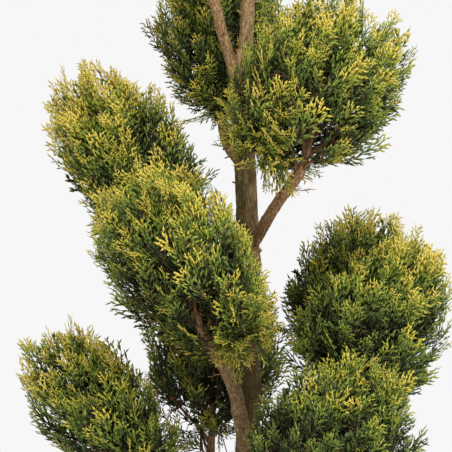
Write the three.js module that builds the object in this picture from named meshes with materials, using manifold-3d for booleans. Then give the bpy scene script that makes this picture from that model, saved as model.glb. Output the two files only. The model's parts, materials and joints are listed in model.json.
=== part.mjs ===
// A cloud-pruned golden cypress in a plain nursery pot, in millimetres, +Z up.
// Thirteen clipped heads of foliage stand on upswept boughs round one trunk, which forks into two leaders.
// The origin is the centre of the pot's flat underside. The side that faces -Y is the front.
import * as THREE from 'three';
import { mergeVertices } from 'three/addons/utils/BufferGeometryUtils.js';
import Module from 'manifold-3d';

const wasm = await Module();
wasm.setup();

// Air left between two pieces that touch
const GAP = 0.3;

// The pot: a tapered nursery container with a rolled rim and drain holes
const POT_HEIGHT = 310;
const POT_BASE_RADIUS = 145;
const POT_TOP_RADIUS = 178;
const POT_WALL = 3;
const RIM_REACH = 8;
const RIM_HEIGHT = 16;
const POT_SIDES = 28;
const DRAIN_HOLES = 6;
const DRAIN_RADIUS = 9;
const DRAIN_CIRCLE = 104;

// The soil, with a level place in the middle where the trunk stands
const SOIL_HEIGHT = 284;
const SOIL_EDGE_DROP = 7;
const SOIL_LEVEL_RADIUS = 52;
const SOIL_BUMP = 2.5;

// The trunk: [x, y, z] down its middle, from just under its level foot to the fork
const TRUNK_LINE = [
  [0, 0, SOIL_HEIGHT - 4],
  [-1, -3, 400],
  [-3, -2, 565],
  [-2, 2, 793],
  [-3, 2, 883],
  [-6, 0, 966],
  [-10, 0, 1048],
  [-15, 0, 1130],
];
const TRUNK_FOOT_RADIUS = 20;
const TRUNK_TOP_RADIUS = 15.5;
const FLARE_REACH = 13;
const FLARE_HEIGHT = 34;
const FLARE_LOBES = 5;
const TRUNK_SIDES = 10;
const TRUNK_STEPS = 16;
const TRUNK_CROWDING = 1.8;

// The two leaders above the fork: the line each follows, and its radius at the fork and at its tip
const LEADERS = {
  left: { starts: 1098, line: [[-29, -3, 1153], [-43, -9, 1198], [-58, -17, 1243]], thick: 9.5, thin: 7 },
  right: { starts: 1098, line: [[-5, 1, 1198], [-3, 3, 1243], [-5, 3, 1333], [-8, 1, 1410]], thick: 12, thin: 7 },
};

// The heads. foot: where its bough enters it. base, top: the two ends of its axis. radius: half its width.
// widest: where along the axis it is widest. fullness: the lower, the squarer its outline.
// from: the limb that carries it, and how high the bough leaves that limb. rise: the bough's first slope.
// thick, thin: the bough's radius at its two ends.
const HEADS = [
  {
    name: 'upper_right', foot: [62, -105, 968], base: [-7, -105, 984], top: [184, -150, 1213],
    radius: 115, widest: 0.56, fullness: 0.38,
    from: 'trunk', height: 868, rise: 0.75, thick: 10, thin: 8,
  },
  {
    name: 'upper_left_back', foot: [-40, 96, 1056], base: [-29, 70, 1054], top: [-61, 165, 1332],
    radius: 103, widest: 0.58, fullness: 0.44,
    from: 'trunk', height: 985, rise: 0.8, thick: 9.5, thin: 7.5,
  },
  {
    name: 'middle_left', foot: [-160, 32, 873], base: [-105, 25, 888], top: [-274, 45, 1136],
    radius: 93, widest: 0.45, fullness: 0.38,
    from: 'trunk', height: 740, rise: 0.6, thick: 9.5, thin: 7.5,
  },
  {
    name: 'middle_front', foot: [-56, -92, 726], base: [10, -90, 713], top: [-190, -165, 970],
    radius: 106, widest: 0.62, fullness: 0.38,
    from: 'trunk', height: 556, rise: 2.4, thick: 12, thin: 9.5,
  },
  {
    name: 'lower_left', foot: [-190, -24, 512], base: [-114, -15, 506], top: [-322, -41, 742],
    radius: 82, widest: 0.55, fullness: 0.41,
    from: 'trunk', height: 386, rise: 0.4, thick: 10, thin: 7.5,
  },
  {
    name: 'lower_back', foot: [-60, 128, 552], base: [-66, 108, 545], top: [-46, 170, 832],
    radius: 109, widest: 0.57, fullness: 0.38,
    from: 'trunk', height: 420, rise: 0.7, thick: 9.5, thin: 7,
  },
  {
    name: 'middle_right', foot: [159, -45, 625], base: [107, -40, 651], top: [268, -55, 873],
    radius: 105, widest: 0.36, fullness: 0.52,
    from: 'trunk', height: 490, rise: 0.5, thick: 10.5, thin: 8,
  },
  {
    name: 'middle_right_back', foot: [160, 148, 668], base: [140, 130, 674], top: [211, 195, 920],
    radius: 113, widest: 0.42, fullness: 0.46,
    from: 'trunk', height: 560, rise: 0.4, thick: 9.5, thin: 7,
  },
  {
    name: 'lower_right', foot: [94, -165, 449], base: [48, -140, 470], top: [187, -215, 709],
    radius: 119, widest: 0.44, fullness: 0.58,
    from: 'trunk', height: 362, rise: 0.3, thick: 10.5, thin: 8,
  },
  {
    name: 'lower_right_back', foot: [98, 168, 410], base: [84, 150, 414], top: [142, 226, 630],
    radius: 88, widest: 0.5, fullness: 0.45,
    from: 'trunk', height: 374, rise: 0.2, thick: 9.5, thin: 7,
  },
  {
    name: 'top_right', foot: [92, 58, 1320], base: [67, 45, 1328], top: [158, 90, 1550],
    radius: 100, widest: 0.5, fullness: 0.43,
    from: 'right', height: 1264, rise: 0.5, thick: 7.5, thin: 6,
  },
  {
    name: 'top_left', foot: [-110, -38, 1294], base: [-86, -28, 1300], top: [-172, -60, 1530],
    radius: 101, widest: 0.5, fullness: 0.42,
    from: 'left',
  },
  {
    name: 'crown', foot: [-10, -1, 1488], base: [-8, 0, 1488], top: [-16, -6, 1738],
    radius: 108, widest: 0.52, fullness: 0.45,
    from: 'right',
  },
];

// How a limb is drawn, and how far its collar stands out of the limb that carries it
const BOUGH_SIDES = 6;
const BOUGH_STEPS = 5;
const LEADER_SIDES = 7;
const LEADER_RUN_IN = 28;
const LEADER_STEPS = 10;
const COLLAR_REACH = 3;
const COLLAR_SWELL = 0.16;
const COLLAR_STEPS = 3;

// How a head is filled. Ratios are shares of the way from the head's heart to its outline.
const HEART = 0.56;
const CORE_RATIO = 0.82;
const CORE_TUCK = 0.3;
const CORE_LUMP = 0.09;
const ROOT_RATIO = 0.58;
const SPRAY_LEAN = 0.4;
const SPRAYS_ON_WIDEST = 17;
const WIDEST_RADIUS = 123;
const SPRAY_HALF_WIDTH = 0.36;
const SPRAY_THICKNESS = 0.12;
const REACH = { least: 0.97, most: 1.1 };
const LOWEST_SHARE = 0.2;
const LUMP = 0.06;
const GOLDEN_ANGLE = Math.PI * (3 - Math.sqrt(5));

// The open foot of a head: twigs that fork from the stem below the core, with sprays at their ends
const LOW_TWIGS = 4;
const LOW_TWIG_RADIUS = 3.2;
const LOW_TWIG_RATIO = 0.72;
const STEM_BEND = 0.12;
const STEM_REACH = 0.7;
const STEM_STEPS = 2;

// How clear the foliage stays of limbs and of the other heads
const LIMB_ROOM = 2.5;
const HEAD_ROOM = 1.12;

// Half of a spray's toothed outline between root and tip, as [share of its length, share of its half width]
const SPRAY_OUTLINE = [[0.7, 1], [0.6, 0.34]];
const SPRAY_MIDDLE = 0.42;

const vector = (place) => new THREE.Vector3(...place);
const axisOf = (head) => vector(head.top).sub(vector(head.base));
const mix = THREE.MathUtils.lerp;

// A repeatable random source: each call of what it returns gives a number from 0 to 1.
function seeded(seed) {
  let state = seed >>> 0;
  return () => {
    state = (state + 0x6d2b79f5) >>> 0;
    let t = state;
    t = Math.imul(t ^ (t >>> 15), t | 1);
    t ^= t + Math.imul(t ^ (t >>> 7), t | 61);
    return ((t ^ (t >>> 14)) >>> 0) / 4294967296;
  };
}

// A closed geometry as a solid that can be joined and cut.
function solidOf(geometry) {
  const bare = geometry.clone();
  bare.deleteAttribute('normal');
  bare.deleteAttribute('uv');
  const merged = mergeVertices(bare, 1e-3);
  return new wasm.Manifold(new wasm.Mesh({
    numProp: 3,
    vertProperties: new Float32Array(merged.attributes.position.array),
    triVerts: new Uint32Array(merged.index.array),
  }));
}

// A solid as a named mesh. Where joining left loose scraps, the largest body is kept.
function meshOf(name, solid, material) {
  const bodies = solid.decompose().sort((a, b) => b.volume() - a.volume());
  const { vertProperties, triVerts } = bodies[0].getMesh();
  const geometry = new THREE.BufferGeometry();
  geometry.setAttribute('position', new THREE.BufferAttribute(new Float32Array(vertProperties), 3));
  geometry.setIndex(new THREE.BufferAttribute(new Uint32Array(triVerts), 1));
  geometry.computeVertexNormals();
  const mesh = new THREE.Mesh(geometry, material);
  mesh.name = name;
  return mesh;
}

// A tube with flat ends along a curve, from share `from` to share `to` of its length.
// radiusAt(share, turn) gives its radius, and `across` is a direction that the curve never runs along.
// A `crowding` above 1 sets its rings closer together near its start.
function limbSolid({ curve, radiusAt, across, crowding = 1 }, from, to, sides, steps) {
  const tube = new THREE.CylinderGeometry(1, 1, 1, sides, steps);
  const place = tube.attributes.position;
  for (let i = 0; i < place.count; i += 1) {
    const share = mix(from, to, (place.getY(i) + 0.5) ** crowding);
    const out = Math.hypot(place.getX(i), place.getZ(i));
    const turn = Math.atan2(place.getX(i), place.getZ(i));
    const along = curve.getTangentAt(share);
    const first = across.clone().addScaledVector(along, -across.dot(along)).normalize();
    const second = first.clone().cross(along);
    const radius = out * radiusAt(share, turn);
    const point = curve.getPointAt(share)
      .addScaledVector(second, radius * Math.cos(turn))
      .addScaledVector(first, radius * Math.sin(turn));
    place.setXYZ(i, point.x, point.y, point.z);
  }
  const solid = solidOf(tube);
  if (solid.volume() < 0) throw new Error('a limb is inside out');
  return solid;
}

// Places down the middle of a limb, each with the limb's radius there.
function samplesOf({ curve, radiusAt }, count) {
  return Array.from({ length: count + 1 }, (_, i) => ({
    point: curve.getPointAt(i / count),
    radius: radiusAt(i / count, 0),
  }));
}

// The share of a limb's length at which it first stands clear of the limb that carries it.
function shareWhenClear(limb, carrierSamples, room) {
  const own = samplesOf(limb, 150);
  const clear = ({ point, radius }) => carrierSamples.every((other) => (
    other.point.distanceTo(point) > other.radius + radius + room
  ));
  return own.findIndex(clear) / 150;
}

// The point on a limb's line at a given height.
function pointAtHeight({ curve }, height) {
  let low = 0;
  let high = 1;
  for (let i = 0; i < 40; i += 1) {
    const middle = (low + high) / 2;
    if (curve.getPointAt(middle).z < height) low = middle;
    else high = middle;
  }
  return { share: low, point: curve.getPointAt(low) };
}

// The trunk's line and radius, with roots that swell it in lobes at the soil.
function trunkLimb() {
  const curve = new THREE.CatmullRomCurve3(TRUNK_LINE.map(vector), false, 'centripetal');
  const radiusAt = (share, turn) => {
    const above = curve.getPointAt(share).z - SOIL_HEIGHT;
    const lobes = 1 + 0.35 * Math.cos(FLARE_LOBES * turn + 0.6);
    return mix(TRUNK_FOOT_RADIUS, TRUNK_TOP_RADIUS, share) + FLARE_REACH * lobes * Math.exp(-above / FLARE_HEIGHT);
  };
  return { curve, radiusAt, across: new THREE.Vector3(1, 0, 0), crowding: TRUNK_CROWDING };
}

// A leader's line starts inside the trunk below the fork and ends at the foot of the head that it carries.
function leaderLimb({ starts, line, thick, thin }, trunk, head) {
  const base = pointAtHeight(trunk, starts).point;
  const foot = vector(head.foot);
  const axis = axisOf(head).normalize();
  const places = [base, ...line.map(vector), foot.clone().addScaledVector(axis, -LEADER_RUN_IN), foot];
  const curve = new THREE.CatmullRomCurve3(places, false, 'centripetal');
  const radiusAt = (share) => mix(thick, thin, share);
  return { curve, radiusAt, across: new THREE.Vector3(0, 1, 0) };
}

// A bough's line: it leaves its carrier upwards and outwards and comes in along the head's axis.
function boughLimb(head, carrier) {
  const start = pointAtHeight(carrier, head.height).point;
  const foot = vector(head.foot);
  const axis = axisOf(head).normalize();
  const chord = foot.clone().sub(start);
  const outward = chord.clone().setZ(0).normalize();
  const first = outward.clone().setZ(head.rise).normalize();
  const reach = chord.length();
  const curve = new THREE.CubicBezierCurve3(
    start,
    start.clone().addScaledVector(first, 0.4 * reach),
    foot.clone().addScaledVector(axis, -0.36 * reach),
    foot,
  );
  const radiusAt = (share) => mix(head.thick, head.thin, share) * (1 + COLLAR_SWELL * Math.exp(-share * 9));
  const across = new THREE.Vector3().crossVectors(outward, new THREE.Vector3(0, 0, 1)).normalize();
  return { curve, radiusAt, across };
}

// Splits a limb into the collar, which belongs to its carrier, and the share where the limb itself begins.
function collarOf(limb, carrierSamples) {
  const end = shareWhenClear(limb, carrierSamples, COLLAR_REACH);
  const begins = end + GAP / limb.curve.getLength();
  const collar = limbSolid(limb, 0, end, BOUGH_SIDES, COLLAR_STEPS);
  return { collar, begins };
}

// A head's own directions and the power that puts its widest place where it is stated.
function shapeOf(head, index) {
  const foot = vector(head.foot);
  const base = vector(head.base);
  const axis = axisOf(head);
  const length = axis.length();
  const up = axis.normalize();
  const side = new THREE.Vector3().crossVectors(up, new THREE.Vector3(0, 1, 0)).normalize();
  const across = new THREE.Vector3().crossVectors(up, side);
  const lift = Math.log(0.5) / Math.log(head.widest);
  return { ...head, index, foot, base, up, side, across, length, lift };
}

// How far a head's outline swells out from its axis, for a share of the way from base to top.
function swellAt(shape, share, turn) {
  const bounded = THREE.MathUtils.clamp(share, 0, 1);
  const lump = 1 + LUMP * Math.sin(3 * turn + 1.7 * shape.index) * Math.sin(5 * bounded + shape.index);
  return shape.radius * lump * Math.sin(Math.PI * bounded ** shape.lift) ** shape.fullness;
}

// The middle that a head's foliage is measured from.
const heartOf = (shape) => shape.base.clone().addScaledVector(shape.up, HEART * shape.length);

// A point of a head: polar 0 is its base and PI its top. ratio 1 is its outline, 0 its heart.
function placeIn(shape, polar, turn, ratio) {
  const share = (1 - Math.cos(polar)) / 2;
  const swell = swellAt(shape, share, turn);
  const point = shape.base.clone()
    .addScaledVector(shape.up, share * shape.length)
    .addScaledVector(shape.side, swell * Math.cos(turn))
    .addScaledVector(shape.across, swell * Math.sin(turn));
  return heartOf(shape).lerp(point, ratio);
}

// True if a point lies in a head's outline grown by `room`.
function isInside(shape, point, room) {
  const heart = heartOf(shape);
  const shrunk = point.clone().sub(heart).divideScalar(room).add(heart).sub(shape.base);
  const share = shrunk.dot(shape.up) / shape.length;
  if (share <= 0 || share >= 1) return false;
  const x = shrunk.dot(shape.side);
  const y = shrunk.dot(shape.across);
  return Math.hypot(x, y) < swellAt(shape, share, Math.atan2(y, x));
}

// The places of a spray's outline and its two faces' middles, in the head's frame.
function sprayPlaces(root, tip, roll, halfWidth, thickness) {
  const along = tip.clone().sub(root);
  const length = along.length();
  along.normalize();
  const helper = Math.abs(along.z) < 0.9 ? new THREE.Vector3(0, 0, 1) : new THREE.Vector3(1, 0, 0);
  const flat = new THREE.Vector3().crossVectors(along, helper).applyAxisAngle(along, roll).normalize();
  const normal = new THREE.Vector3().crossVectors(along, flat);
  const at = (share, out, high) => root.clone()
    .addScaledVector(along, share * length)
    .addScaledVector(flat, out * halfWidth)
    .addScaledVector(normal, high);
  const right = SPRAY_OUTLINE.map(([share, out]) => at(share, out, 0));
  const left = SPRAY_OUTLINE.map(([share, out]) => at(share, -out, 0)).reverse();
  return {
    rim: [root.clone(), ...right, tip.clone(), ...left],
    faces: [at(SPRAY_MIDDLE, 0, thickness / 2), at(SPRAY_MIDDLE, 0, -thickness / 2)],
  };
}

// A spray as a thin closed blade: its toothed rim joined to the middle of each face.
function spraySolid({ rim, faces }) {
  const places = [];
  rim.forEach((place, i) => {
    const next = rim[(i + 1) % rim.length];
    places.push(place, next, faces[0], next, place, faces[1]);
  });
  const geometry = new THREE.BufferGeometry().setFromPoints(places);
  const solid = solidOf(geometry);
  if (solid.volume() > 0) return solid;
  const index = [...Array(places.length).keys()].reverse();
  return solidOf(geometry.setIndex(index));
}

// True if all these places are clear of every limb and of the other heads.
function isClear(places, shape, shapes, limbPoints) {
  return places.every((place) => {
    const offLimbs = limbPoints.every(({ point, radius }) => point.distanceTo(place) > radius + LIMB_ROOM);
    const offHeads = shapes.every((other) => other === shape || !isInside(other, place, HEAD_ROOM));
    return offLimbs && offHeads;
  });
}

// The dense middle of a head, drawn in towards the base.
function coreSolid(shape) {
  const ball = new THREE.IcosahedronGeometry(1, 2);
  const place = ball.attributes.position;
  for (let i = 0; i < place.count; i += 1) {
    const direction = new THREE.Vector3().fromBufferAttribute(place, i).normalize();
    const polar = Math.acos(THREE.MathUtils.clamp(-direction.z, -1, 1));
    const lump = Math.sin(6 * direction.x + shape.index) * Math.sin(7 * direction.y + 2) + Math.sin(8 * direction.z);
    const ratio = CORE_RATIO * (1 - CORE_TUCK * Math.cos(polar / 2) ** 4) * (1 + CORE_LUMP * lump);
    const point = placeIn(shape, polar, Math.atan2(direction.y, direction.x), ratio);
    place.setXYZ(i, point.x, point.y, point.z);
  }
  const solid = solidOf(ball);
  return solid.volume() > 0 ? solid : solidOf(flipped(ball));
}

// The same triangles, turned to face the other way.
function flipped(geometry) {
  const flat = geometry.index ? geometry.toNonIndexed() : geometry.clone();
  const index = [...Array(flat.attributes.position.count).keys()].reverse();
  return flat.setIndex(index);
}

// The stem that carries a head's core. It runs on from the bough's tip and bends towards the heart.
function stemSolid(shape, radius) {
  const start = shape.foot.clone().addScaledVector(shape.up, GAP);
  const bend = shape.foot.clone().addScaledVector(shape.up, STEM_BEND * shape.length);
  const end = shape.foot.clone().lerp(heartOf(shape), STEM_REACH);
  const curve = new THREE.QuadraticBezierCurve3(start, bend, end);
  const stem = { curve, radiusAt: (share) => mix(radius, 0.55 * radius, share), across: shape.side };
  return limbSolid(stem, 0, 1, BOUGH_SIDES, STEM_STEPS);
}

// A three-sided tapering twig between two points.
function twigSolid(from, to, radius, across) {
  const curve = new THREE.LineCurve3(from, to);
  return limbSolid({ curve, radiusAt: (share) => mix(radius, 0.6 * radius, share), across }, 0, 1, 3, 1);
}

// One spray from root to tip, or nothing where it would leave its own space.
function grownSpray(shape, root, tip, random, shapes, limbPoints) {
  const length = root.distanceTo(tip);
  const halfWidth = length * SPRAY_HALF_WIDTH * mix(0.85, 1.15, random());
  const places = sprayPlaces(root, tip, random() * Math.PI, halfWidth, length * SPRAY_THICKNESS);
  const outer = [...places.rim.slice(1), ...places.faces];
  return isClear(outer, shape, shapes, limbPoints) ? [spraySolid(places)] : [];
}

// The sprays that stand out of the core, spread evenly and leaning up along the head.
function coreSprays(shape, random, shapes, limbPoints) {
  const count = Math.round(SPRAYS_ON_WIDEST * shape.radius / WIDEST_RADIUS);
  const grown = [];
  for (let i = 0; i < count; i += 1) {
    const share = mix(LOWEST_SHARE, 1, (i + 0.5) / count);
    const polar = Math.acos(1 - 2 * share);
    const turn = i * GOLDEN_ANGLE + 0.5 * random();
    const reach = mix(REACH.least, REACH.most, random());
    const tip = placeIn(shape, polar, turn, reach);
    const root = placeIn(shape, Math.max(polar - SPRAY_LEAN, 0.3), turn, ROOT_RATIO);
    grown.push(...grownSpray(shape, root, tip, random, shapes, limbPoints));
  }
  return grown;
}

// The twigs below the core, each with a spray at its end and one to the side.
function lowTwigs(shape, random, shapes, limbPoints) {
  const grown = [];
  for (let i = 0; i < LOW_TWIGS; i += 1) {
    const turn = (i + 0.4 * random()) * (2 * Math.PI / LOW_TWIGS);
    const from = shape.foot.clone().addScaledVector(shape.up, mix(0.05, 0.12, random()) * shape.length);
    const polar = Math.acos(1 - 2 * mix(0.16, 0.24, random()));
    const to = placeIn(shape, polar, turn, LOW_TWIG_RATIO);
    if (!isClear([to, from.clone().lerp(to, 0.5)], shape, shapes, limbPoints)) continue;
    grown.push(twigSolid(from, to, LOW_TWIG_RADIUS, shape.up));
    [0, i % 2 ? 0.5 : -0.5].forEach((spread) => {
      const root = from.clone().lerp(to, spread === 0 ? 0.82 : 0.6);
      const tip = placeIn(shape, polar - 0.12 * Math.abs(spread), turn + spread, mix(0.92, 1.03, random()));
      grown.push(...grownSpray(shape, root, tip, random, shapes, limbPoints));
    });
  }
  return grown;
}

// A whole head: stem, low twigs, core and sprays, fused.
function headSolid(shape, stemRadius, shapes, limbPoints) {
  const random = seeded(101 + 17 * shape.index);
  const pieces = [
    coreSolid(shape),
    stemSolid(shape, stemRadius),
    ...coreSprays(shape, random, shapes, limbPoints),
    ...lowTwigs(shape, random, shapes, limbPoints),
  ];
  return wasm.Manifold.union(pieces);
}

// The upper part of a solid, cut off level at a height.
function cutLevel(solid, height) {
  const block = new THREE.BoxGeometry(300, 300, 100).translate(0, 0, height - 50);
  return solid.subtract(solidOf(block));
}

// The outer radius of the pot at a height.
const potRadiusAt = (height) => mix(POT_BASE_RADIUS, POT_TOP_RADIUS, height / POT_HEIGHT);

// A profile of [radius, height] turned round the Z axis.
function turned(profile, sides) {
  const lathe = new THREE.LatheGeometry(profile.map(([r, z]) => new THREE.Vector2(r, z)), sides);
  return lathe.rotateX(Math.PI / 2);
}

// The pot's wall, floor and rolled rim, with drain holes through the floor.
function potSolid() {
  const inside = (height) => potRadiusAt(height) - POT_WALL;
  const rimFoot = POT_HEIGHT - RIM_HEIGHT;
  const profile = [
    [0, 0],
    [POT_BASE_RADIUS - 3, 0],
    [potRadiusAt(3), 3],
    [potRadiusAt(rimFoot), rimFoot],
    [potRadiusAt(rimFoot) + RIM_REACH, rimFoot + 2],
    [POT_TOP_RADIUS + RIM_REACH, POT_HEIGHT - 3],
    [POT_TOP_RADIUS + RIM_REACH - 3, POT_HEIGHT],
    [POT_TOP_RADIUS - POT_WALL, POT_HEIGHT],
    [inside(POT_WALL), POT_WALL],
    [0, POT_WALL],
  ];
  const holes = [];
  for (let i = 0; i < DRAIN_HOLES; i += 1) {
    const turn = (i + 0.5) * (2 * Math.PI / DRAIN_HOLES);
    const hole = new THREE.CylinderGeometry(DRAIN_RADIUS, DRAIN_RADIUS, 4 * POT_WALL, 8).rotateX(Math.PI / 2);
    hole.translate(DRAIN_CIRCLE * Math.cos(turn), DRAIN_CIRCLE * Math.sin(turn), POT_WALL / 2);
    holes.push(solidOf(hole));
  }
  const body = solidOf(turned(profile, POT_SIDES));
  return body.subtract(wasm.Manifold.union(holes));
}

// The soil fills the pot to a little under its rim, and its top is uneven but for the middle.
function soilSolid() {
  const floor = POT_WALL + GAP;
  const edge = SOIL_HEIGHT - SOIL_EDGE_DROP;
  const inside = (height) => potRadiusAt(height) - POT_WALL - 2 * GAP;
  const profile = [
    [0, floor],
    [inside(floor), floor],
    [inside(edge), edge],
    [140, mix(edge, SOIL_HEIGHT, 0.3)],
    [98, mix(edge, SOIL_HEIGHT, 0.75)],
    [SOIL_LEVEL_RADIUS, SOIL_HEIGHT],
    [0, SOIL_HEIGHT],
  ];
  const shape = turned(profile, POT_SIDES);
  const place = shape.attributes.position;
  for (let i = 0; i < place.count; i += 1) {
    const out = Math.hypot(place.getX(i), place.getY(i));
    if (place.getZ(i) < edge + 1 || out < SOIL_LEVEL_RADIUS + 1) continue;
    const turn = Math.atan2(place.getY(i), place.getX(i));
    place.setZ(i, place.getZ(i) + SOIL_BUMP * Math.sin(7 * turn + out) * Math.cos(3 * turn - out / 9));
  }
  return solidOf(shape);
}

// A material with the part's own colour.
const finish = (color, roughness) => new THREE.MeshStandardMaterial({ color, roughness, metalness: 0 });
const BARK = finish(0x6b5744, 0.9);
const FOLIAGE = finish(0x76892f, 0.85);
const POT_PLASTIC = finish(0x26282a, 0.55);
const SOIL = finish(0x3a2a1e, 0.97);

// The whole plant: limbs first, because the foliage keeps clear of them.
function buildPlant() {
  const plant = new THREE.Group();
  plant.name = 'potted_cloud_topiary';
  const heads = Object.fromEntries(HEADS.map((head) => [head.name, head]));
  const trunk = trunkLimb();
  const limbs = {
    trunk,
    left: leaderLimb(LEADERS.left, trunk, heads.top_left),
    right: leaderLimb(LEADERS.right, trunk, heads.crown),
  };
  const solids = {
    trunk: [limbSolid(trunk, 0, 1, TRUNK_SIDES, TRUNK_STEPS)],
    left: [],
    right: [],
  };
  const samples = {
    trunk: samplesOf(trunk, 200),
    left: samplesOf(limbs.left, 80),
    right: samplesOf(limbs.right, 80),
  };
  const limbPoints = Object.values(samples).flat();

  ['left', 'right'].forEach((side) => {
    const { collar, begins } = collarOf(limbs[side], samples.trunk);
    solids.trunk.push(collar);
    solids[side].push(limbSolid(limbs[side], begins, 1, LEADER_SIDES, LEADER_STEPS));
  });

  HEADS.filter((head) => head.height).forEach((head) => {
    const bough = boughLimb(head, limbs[head.from]);
    const { collar, begins } = collarOf(bough, samples[head.from]);
    solids[head.from].push(collar);
    limbPoints.push(...samplesOf(bough, 40));
    plant.add(meshOf(`bough_${head.name}`, limbSolid(bough, begins, 1, BOUGH_SIDES, BOUGH_STEPS), BARK));
  });

  const trunkSolid = cutLevel(wasm.Manifold.union(solids.trunk), SOIL_HEIGHT + GAP);
  plant.add(meshOf('trunk', trunkSolid, BARK));
  plant.add(meshOf('leader_left', wasm.Manifold.union(solids.left), BARK));
  plant.add(meshOf('leader_right', wasm.Manifold.union(solids.right), BARK));

  const shapes = HEADS.map(shapeOf);
  shapes.forEach((shape) => {
    const stemRadius = shape.thin ?? LEADERS[shape.from].thin;
    plant.add(meshOf(`foliage_${shape.name}`, headSolid(shape, stemRadius, shapes, limbPoints), FOLIAGE));
  });

  plant.add(meshOf('pot', potSolid(), POT_PLASTIC));
  plant.add(meshOf('soil', soilSolid(), SOIL));
  return plant;
}

export default buildPlant();
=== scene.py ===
"""Dresses the potted cloud topiary: bark, twigs, golden foliage, pot and soil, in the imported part's frame.

Sizes in the classes are millimetres. They become metres where a mesh is made.
The seeded rule that grows the part's limbs and heads is written again here and carried on to finer twigs.
"""

import json
import logging
import math
from dataclasses import dataclass, field
from enum import Enum
from typing import Iterable, Sequence

import bmesh
import bpy
import numpy as np
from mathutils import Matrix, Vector, kdtree

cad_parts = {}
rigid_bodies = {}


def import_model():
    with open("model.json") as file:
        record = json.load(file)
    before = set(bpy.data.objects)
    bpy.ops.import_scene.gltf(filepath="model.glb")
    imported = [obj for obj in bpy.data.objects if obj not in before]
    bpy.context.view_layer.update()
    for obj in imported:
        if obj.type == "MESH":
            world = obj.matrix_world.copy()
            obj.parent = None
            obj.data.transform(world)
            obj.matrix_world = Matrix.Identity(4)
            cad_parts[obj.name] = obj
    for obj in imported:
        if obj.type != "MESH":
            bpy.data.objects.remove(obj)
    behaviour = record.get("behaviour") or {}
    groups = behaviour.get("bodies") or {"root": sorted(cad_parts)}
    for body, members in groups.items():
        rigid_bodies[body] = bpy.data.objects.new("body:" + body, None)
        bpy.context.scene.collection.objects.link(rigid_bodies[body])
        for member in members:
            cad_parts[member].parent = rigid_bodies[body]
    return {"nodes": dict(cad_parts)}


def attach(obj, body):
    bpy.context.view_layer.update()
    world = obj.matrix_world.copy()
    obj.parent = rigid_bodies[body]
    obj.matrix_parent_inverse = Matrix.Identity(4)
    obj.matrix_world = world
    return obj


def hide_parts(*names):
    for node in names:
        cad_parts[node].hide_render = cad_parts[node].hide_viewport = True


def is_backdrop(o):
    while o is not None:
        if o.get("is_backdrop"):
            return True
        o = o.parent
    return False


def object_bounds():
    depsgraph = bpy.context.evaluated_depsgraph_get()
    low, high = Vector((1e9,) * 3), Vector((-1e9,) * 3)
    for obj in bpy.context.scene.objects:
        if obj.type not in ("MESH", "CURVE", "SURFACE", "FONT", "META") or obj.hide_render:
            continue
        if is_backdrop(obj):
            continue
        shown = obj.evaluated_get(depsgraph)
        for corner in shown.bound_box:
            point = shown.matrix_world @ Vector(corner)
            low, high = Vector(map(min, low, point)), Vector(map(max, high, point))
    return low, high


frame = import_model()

Pair = tuple[float, float]
Triple = tuple[float, float, float]
Colour = tuple[float, float, float, float]
Shape = tuple[np.ndarray, list[list[int]]]
Socket = bpy.types.NodeSocket

LOG = logging.getLogger("topiary")
METRES = 0.001
UP = np.array([0.0, 0.0, 1.0])
FULL_TURN = 2 * math.pi
GOLDEN_ANGLE = math.pi * (3 - math.sqrt(5))
BODY = "root"


class Carrier(Enum):
    """The limb that a head's bough leaves."""

    TRUNK = "trunk"
    LEFT_LEADER = "leader_left"
    RIGHT_LEADER = "leader_right"


class Slot(Enum):
    """The record's material slots."""

    BARK = "bark"
    FOLIAGE = "foliage"
    POT = "pot"
    SOIL = "soil"


# Small helpers


def unit(rows: np.ndarray) -> np.ndarray:
    """Directions of the same rows, each of length 1."""
    return rows / np.maximum(np.linalg.norm(rows, axis=-1, keepdims=True), 1e-9)


def mix(low: float, high: float, share: np.ndarray | float) -> np.ndarray | float:
    """The value a share of the way from low to high."""
    return low + (high - low) * share


def travelled(line: np.ndarray) -> np.ndarray:
    """The length of a line up to each of its places."""
    return np.concatenate([[0], np.cumsum(np.linalg.norm(np.diff(line, axis=0), axis=1))])


def colour(red: int, green: int, blue: int) -> Colour:
    """Turns a screen colour into a linear one.

    Args:
        red: The red channel, 0 to 255.
        green: The green channel.
        blue: The blue channel.

    Returns:
        The colour as a shader takes it.
    """
    shares = [channel / 255 for channel in (red, green, blue)]
    linear = [s / 12.92 if s <= 0.04045 else ((s + 0.055) / 1.055) ** 2.4 for s in shares]
    return (*linear, 1.0)


# Meshes and pieces


def new_mesh(name: str, places: np.ndarray, faces: Sequence[Sequence[int]]) -> bpy.types.Mesh:
    """Makes a mesh.

    Args:
        name: The mesh's name.
        places: Vertex places in millimetres.
        faces: Vertex numbers of each face, outward side counterclockwise.

    Returns:
        The mesh, in metres.
    """
    mesh = bpy.data.meshes.new(name)
    mesh.from_pydata((places * METRES).tolist(), [], faces)
    mesh.update()
    return mesh


def shown(name: str, mesh: bpy.types.Mesh, finish: "Finish | None" = None) -> bpy.types.Object:
    """Puts a mesh in the scene.

    Args:
        name: The object's name.
        mesh: The mesh.
        finish: Its one finish, or None if its material is set elsewhere.

    Returns:
        The object, at the origin.
    """
    piece = bpy.data.objects.new(name, mesh)
    if finish is not None:
        mesh.materials.append(finish.material())
    bpy.context.scene.collection.objects.link(piece)
    return piece


def booked(piece: bpy.types.Object, slot: Slot, *nodes: str) -> bpy.types.Object:
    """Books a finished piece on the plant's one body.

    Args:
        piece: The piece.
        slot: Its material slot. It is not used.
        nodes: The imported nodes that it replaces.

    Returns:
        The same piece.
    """
    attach(piece, BODY)
    if nodes:
        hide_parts(*nodes)
    return piece


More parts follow.
